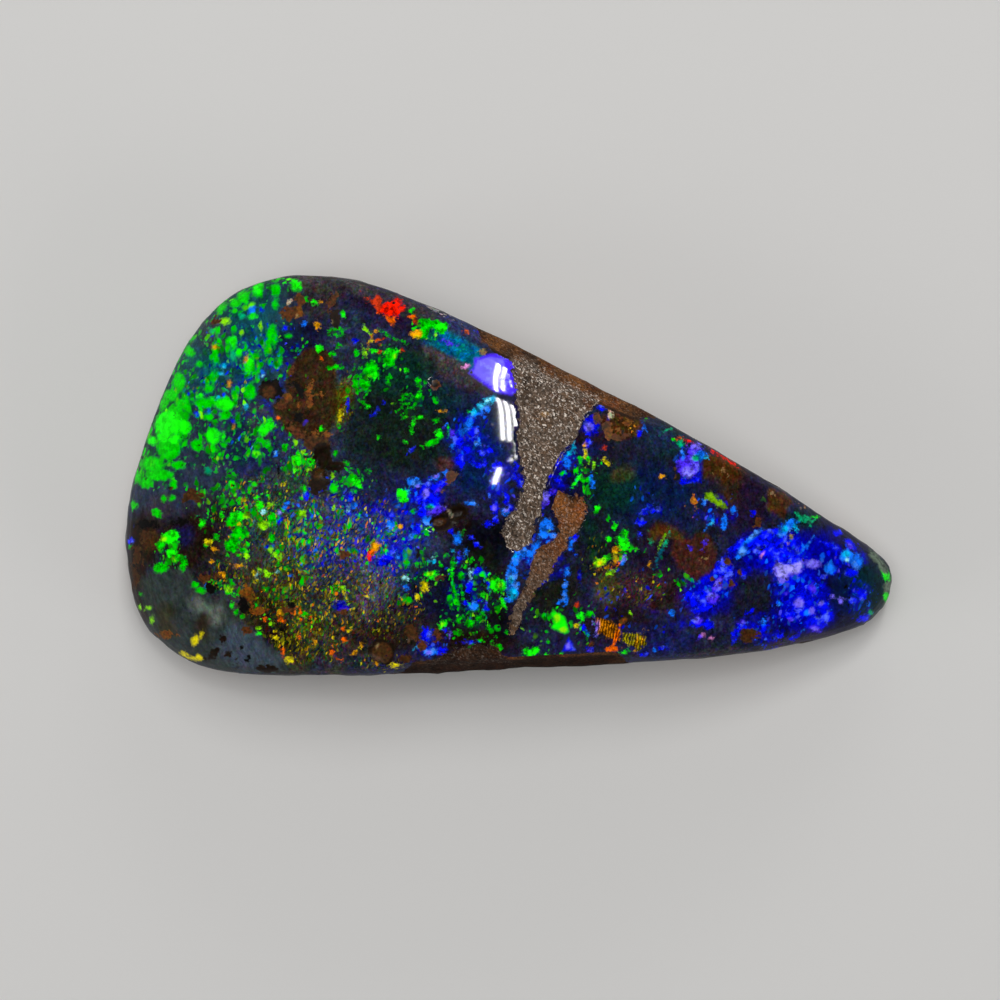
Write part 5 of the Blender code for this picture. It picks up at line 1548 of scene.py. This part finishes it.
def rockLook(tree, place, bent):
    # sandy grains and short strokes, a few of them pale and glinting, with dark gaps between
    colour = painted(tree, "rockColour", "Color")
    rusty = softStep(tree, speckle(tree, place, "rockPatch"), *rockGrains["rustFade"])
    rusty = reckon(tree, "MULTIPLY", rusty, contrast(tree, painted(tree, "sparkle"),
                                                     "rustBySparkle"))
    colour = blend(tree, rusty, colour, tint(tree, colour, rockGrains["rust"]))
    colour = dim(tree, colour, contrast(tree, speckle(tree, place, "rockLump"), "rockLump"))
    strokes = leaning(tree, bent, *rockGrains["lean"])
    cells = addNode(tree, "ShaderNodeTexVoronoi", {"Vector": strokes, "Scale": rockGrains["perMm"]})
    chance = addNode(tree, "ShaderNodeSeparateColor", {0: cells.outputs["Color"]})
    colour = dim(tree, colour, contrast(tree, chance.outputs[1], "rockGrain"))
    grit = speckle(tree, strokes, "grit")
    glint = reckon(tree, "MULTIPLY", softStep(tree, chance.outputs[0], *rockGrains["glintFade"]),
                   softStep(tree, grit, *rockGrains["gritFade"]))
    glint = reckon(tree, "MULTIPLY", glint, painted(tree, "sparkle"))
    colour = blend(tree, glint, colour, rockGrains["glint"])
    return dim(tree, colour, contrast(tree, grit, "grit"))


def opalMaterial():
    material = bpy.data.materials.new("boulderOpal")
    material.use_nodes = True
    tree = material.node_tree
    where = addNode(tree, "ShaderNodeTexCoord", {}).outputs["Object"]
    place = dim(tree, where, 1.0 / mm)
    bent = nudged(tree, place, *opal["bend"])
    curved = nudged(tree, bent, *opal["curve"])
    amounts = addNode(tree, "ShaderNodeSeparateColor", {0: painted(tree, "flecks", "Color")})
    calm = painted(tree, "calm")
    cloud, dust, clusters, ragged = (speckle(tree, spot, kind) for spot, kind in (
        (place, "cloud"), (place, "dust"), (bent, "clusters"), (place, "ragged")))
    stray = reckon(tree, "SUBTRACT", ragged, 0.5)
    dark = (0.0, 0.0, 0.0, 1.0)

    # layers from below: share, colour, glow. The small flecks lie under the larger flashes
    colour = groundLook(tree, place, curved, amounts, calm, cloud, dust)
    glow = dim(tree, colour, opal["groundGlow"])
    layers = []
    for kind in cloudKinds:
        share, flake = cloudLayer(tree, bent, amounts, kind)
        flake = dim(tree, flake, contrast(tree, dust, "dustOnClouds"))
        layers.append((share, flake, flake))
    for kind in fleckKinds:
        share, flake = fleckLayer(tree, curved, clusters, amounts, calm, kind)
        layers.append((share, flake, flake))
    share, flake = flashLook(tree, bent, calm, cloud, stray)
    layers.append((share, flake, flake))
    grainShare, crumb = grainLook(tree, place, stray, dust)
    layers.append((grainShare, crumb, dark))
    rockEdge = painted(tree, "rockEdge")
    edge = reckon(tree, "MULTIPLY_ADD", stray, opal["rockRagged"], rockEdge)
    rockShare = softStep(tree, edge, *opal["rockFade"])
    layers.append((rockShare, rockLook(tree, place, bent), dark))
    for share, paint, light in layers:
        colour = blend(tree, share, colour, paint)
        glow = blend(tree, share, glow, light)

    roughness = blendNumber(tree, grainShare, gloss["opal"], gloss["grain"])
    roughness = blendNumber(tree, rockShare, roughness, gloss["rock"])
    height = reckon(tree, "ADD", speckle(tree, place, "fineHeight"),
                    speckle(tree, place, "coarseHeight"))
    height = reckon(tree, "MULTIPLY", height, softStep(tree, rockEdge, *opal["bumpFade"]))
    bump = addNode(tree, "ShaderNodeBump", {"Strength": 1.0, "Distance": gloss["bump"] * mm,
                                            "Height": height})
    shader = tree.nodes["Principled BSDF"]
    for name, value in {"Base Color": colour, "Roughness": roughness,
                        "Normal": bump.outputs[0], "Emission Color": glow}.items():
        tree.links.new(value, shader.inputs[name])
    shader.inputs["Emission Strength"].default_value = gloss["glow"]
    shader.inputs["IOR"].default_value = opal["ior"]
    material.cycles.emission_sampling = "NONE"      # the glow is too faint to light anything
    return material


paintStone(stone, plan, rimReach)
stone.data.materials.append(opalMaterial())
print("stone finished")

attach(stone, "root")
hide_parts("boulder_opal")


# Floor, lamps and camera

def makeFloor():
    bpy.ops.object.select_all(action="DESELECT")
    bpy.ops.mesh.primitive_plane_add(size=studio["floorSize"],
                                     location=(0, 0, -studio["floorDrop"]))
    floor = bpy.context.object
    floor.name = "floor"
    paint = bpy.data.materials.new("paleFloor")
    paint.use_nodes = True
    tree = paint.node_tree
    shader = tree.nodes["Principled BSDF"]
    ray = addNode(tree, "ShaderNodeLightPath", {}).outputs
    colour = blend(tree, ray["Is Glossy Ray"], studio["floorColour"], studio["floorInGloss"])
    tree.links.new(colour, shader.inputs["Base Color"])
    shader.inputs["Roughness"].default_value = studio["floorRoughness"]
    # far off, where no lamp lights it, the camera sees the horizon's colour
    place = addNode(tree, "ShaderNodeTexCoord", {}).outputs["Object"]
    away = addNode(tree, "ShaderNodeVectorMath", {0: place}, operation="LENGTH").outputs["Value"]
    far = reckon(tree, "MULTIPLY", softStep(tree, away, *studio["farFade"]), ray["Is Camera Ray"])
    haze = addNode(tree, "ShaderNodeEmission", {"Color": studio["horizon"]}).outputs[0]
    mixed = addNode(tree, "ShaderNodeMixShader", {0: far, 1: shader.outputs[0], 2: haze})
    tree.links.new(mixed.outputs[0], tree.nodes["Material Output"].inputs["Surface"])
    paint.cycles.emission_sampling = "NONE"
    floor.data.materials.append(paint)


def makeCamera():
    camera = bpy.data.objects.new("camera", bpy.data.cameras.new("camera"))
    bpy.context.scene.collection.objects.link(camera)
    camera.data.lens = studio["lens"]
    camera.data.sensor_width = studio["sensor"]
    camera.data.clip_start = studio["clipStart"]
    camera.location = (studio["aim"][0] * mm, studio["aim"][1] * mm,
                       (cameraHeight() + form["widestHeight"]) * mm)
    bpy.context.scene.camera = camera


lamps = {
    # place, size, watts
    "softAbove": ((-0.05, 0.06, 0.42), (0.34, 0.34), 0.80),
    "lowLeft": ((-0.34, -0.10, 0.13), (0.16, 0.10), 0.16),
    "lowRight": ((0.30, -0.20, 0.13), (0.16, 0.10), 0.16),
    "lowBack": ((0.06, 0.36, 0.12), (0.22, 0.08), 0.16),
}
lampTarget = (0, 0, 0.004)

# Strip lamps whose reflections lie on the face as in the picture: ends, as column and row, and
# the width in pixels
stripeLamps = {
    "distance": 200.0,       # mm
    "radiance": 60.0,
    "banks": {
        "main": [((497.5, 398), (503.0, 440), 3.4), ((504.6, 401), (509.6, 441), 3.4),
                 ((511.6, 405), (517.5, 446.5), 3.0)],
        "bevel": [((502.5, 358), (496, 391), 4.2), ((509.5, 359), (503.4, 391), 3.2),
                  ((515, 365), (512.5, 388), 1.6), ((490.5, 354.6), (501, 359), 1.2)],
        "foot": [((499.8, 468), (494, 484), 4.0), ((515.6, 449), (519, 454.6), 2.0),
                 ((519, 455), (509, 461), 1.2)],
    },
}
# How a spot of the picture is found on the face: a first height, rounds of correcting it, the
# step for its slope, all in mm, and a reach well inside the rolled rim
spotSearch = {"height": 5.8, "rounds": 6, "step": 0.01, "rimReach": 99.0}


def areaLamp(name, size, watts):
    light = bpy.data.lights.new(name, "AREA")
    light.shape = "RECTANGLE"
    light.size, light.size_y = size
    light.energy = watts
    lamp = bpy.data.objects.new(name, light)
    bpy.context.scene.collection.objects.link(lamp)
    lamp.visible_camera = False
    return lamp


def addLamp(name, place, size, watts):
    # a soft lamp that the gloss doesn't show
    lamp = areaLamp(name, size, watts)
    lamp.visible_glossy = False
    lamp.location = place
    towards = Vector(lampTarget) - Vector(place)
    lamp.rotation_euler = towards.to_track_quat("-Z", "Y").to_euler()


def mirrorSpot(column, row):
    # where, at the strip lamps' distance, a camera ray goes that this spot of the face mirrors
    eye = np.array([*studio["aim"], cameraHeight() + form["widestHeight"]])
    shift = np.array(form["shift"])
    deep = np.array([spotSearch["rimReach"]])
    height, step = spotSearch["height"], spotSearch["step"]
    for k in range(spotSearch["rounds"]):
        scale = (eye[2] - height) / (eye[2] - form["widestHeight"]) / picture["pixelsPerMm"]
        plan = np.array([eye[0] + (column - picture["middle"]) * scale,
                         eye[1] - (row - picture["middle"]) * scale])
        height = polishedHeight((plan - shift)[None], deep)[0]
    slope = [(polishedHeight((plan - shift + step * way)[None], deep)[0] - height) / step
             for way in np.eye(2)]
    normal = np.array([-slope[0], -slope[1], 1.0])
    normal /= np.linalg.norm(normal)
    spot = np.array([*plan, height])
    look = (eye - spot) / np.linalg.norm(eye - spot)
    away = 2.0 * (normal @ look) * normal - look
    return spot, spot + away * stripeLamps["distance"]


def addStripe(name, start, end, width):
    (spotA, lampA), (spotB, lampB) = mirrorSpot(*start), mirrorSpot(*end)
    middle = (np.array(start) + end) / 2
    along = (np.array(end) - start) / np.linalg.norm(np.array(end) - start)
    side = np.array([-along[1], along[0]]) * width / 2
    run = lampB - lampA
    length = np.linalg.norm(run)
    breadth = mirrorSpot(*(middle + side))[1] - mirrorSpot(*(middle - side))[1]
    breadth -= run * (breadth @ run) / length ** 2
    centre, target = (lampA + lampB) / 2, (spotA + spotB) / 2
    size = np.linalg.norm(breadth) * mm, length * mm
    lamp = areaLamp(name, size, stripeLamps["radiance"] * math.pi * size[0] * size[1])
    up = Vector(run / length)
    back = Vector((centre - target) / np.linalg.norm(centre - target))
    across = up.cross(back).normalized()
    back = across.cross(up)
    turned = Matrix((across, up, back)).transposed().to_4x4()
    turned.translation = Vector(centre * mm)
    lamp.matrix_world = turned


def makeSky():
    world = bpy.data.worlds.new("studio")
    bpy.context.scene.world = world
    world.use_nodes = True
    tree = world.node_tree
    place = addNode(tree, "ShaderNodeTexCoord", {}).outputs["Generated"]
    height = addNode(tree, "ShaderNodeSeparateXYZ", {0: place}).outputs["Z"]
    ramp = addNode(tree, "ShaderNodeValToRGB", {0: height})
    low, high = ramp.color_ramp.elements
    low.color, high.color = studio["horizon"], studio["skyColour"]
    low.position, high.position = studio["skyFade"]
    ray = addNode(tree, "ShaderNodeLightPath", {}).outputs["Is Glossy Ray"]
    level = spread(tree, ray, 0.0, 1.0, 1.0, studio["skyInGloss"])
    tree.links.new(ramp.outputs[0], tree.nodes["Background"].inputs["Color"])
    tree.links.new(level, tree.nodes["Background"].inputs["Strength"])


def lightScene():
    for name, (place, size, watts) in lamps.items():
        addLamp(name, place, size, watts)
    for bank, stripes in stripeLamps["banks"].items():
        for k, (start, end, width) in enumerate(stripes):
            addStripe("%sStripe%d" % (bank, k), start, end, width)
    makeSky()
    view = bpy.context.scene.view_settings
    view.view_transform = "Standard"
    view.look = "None"


makeFloor()
makeCamera()
lightScene()
print("studio ready")
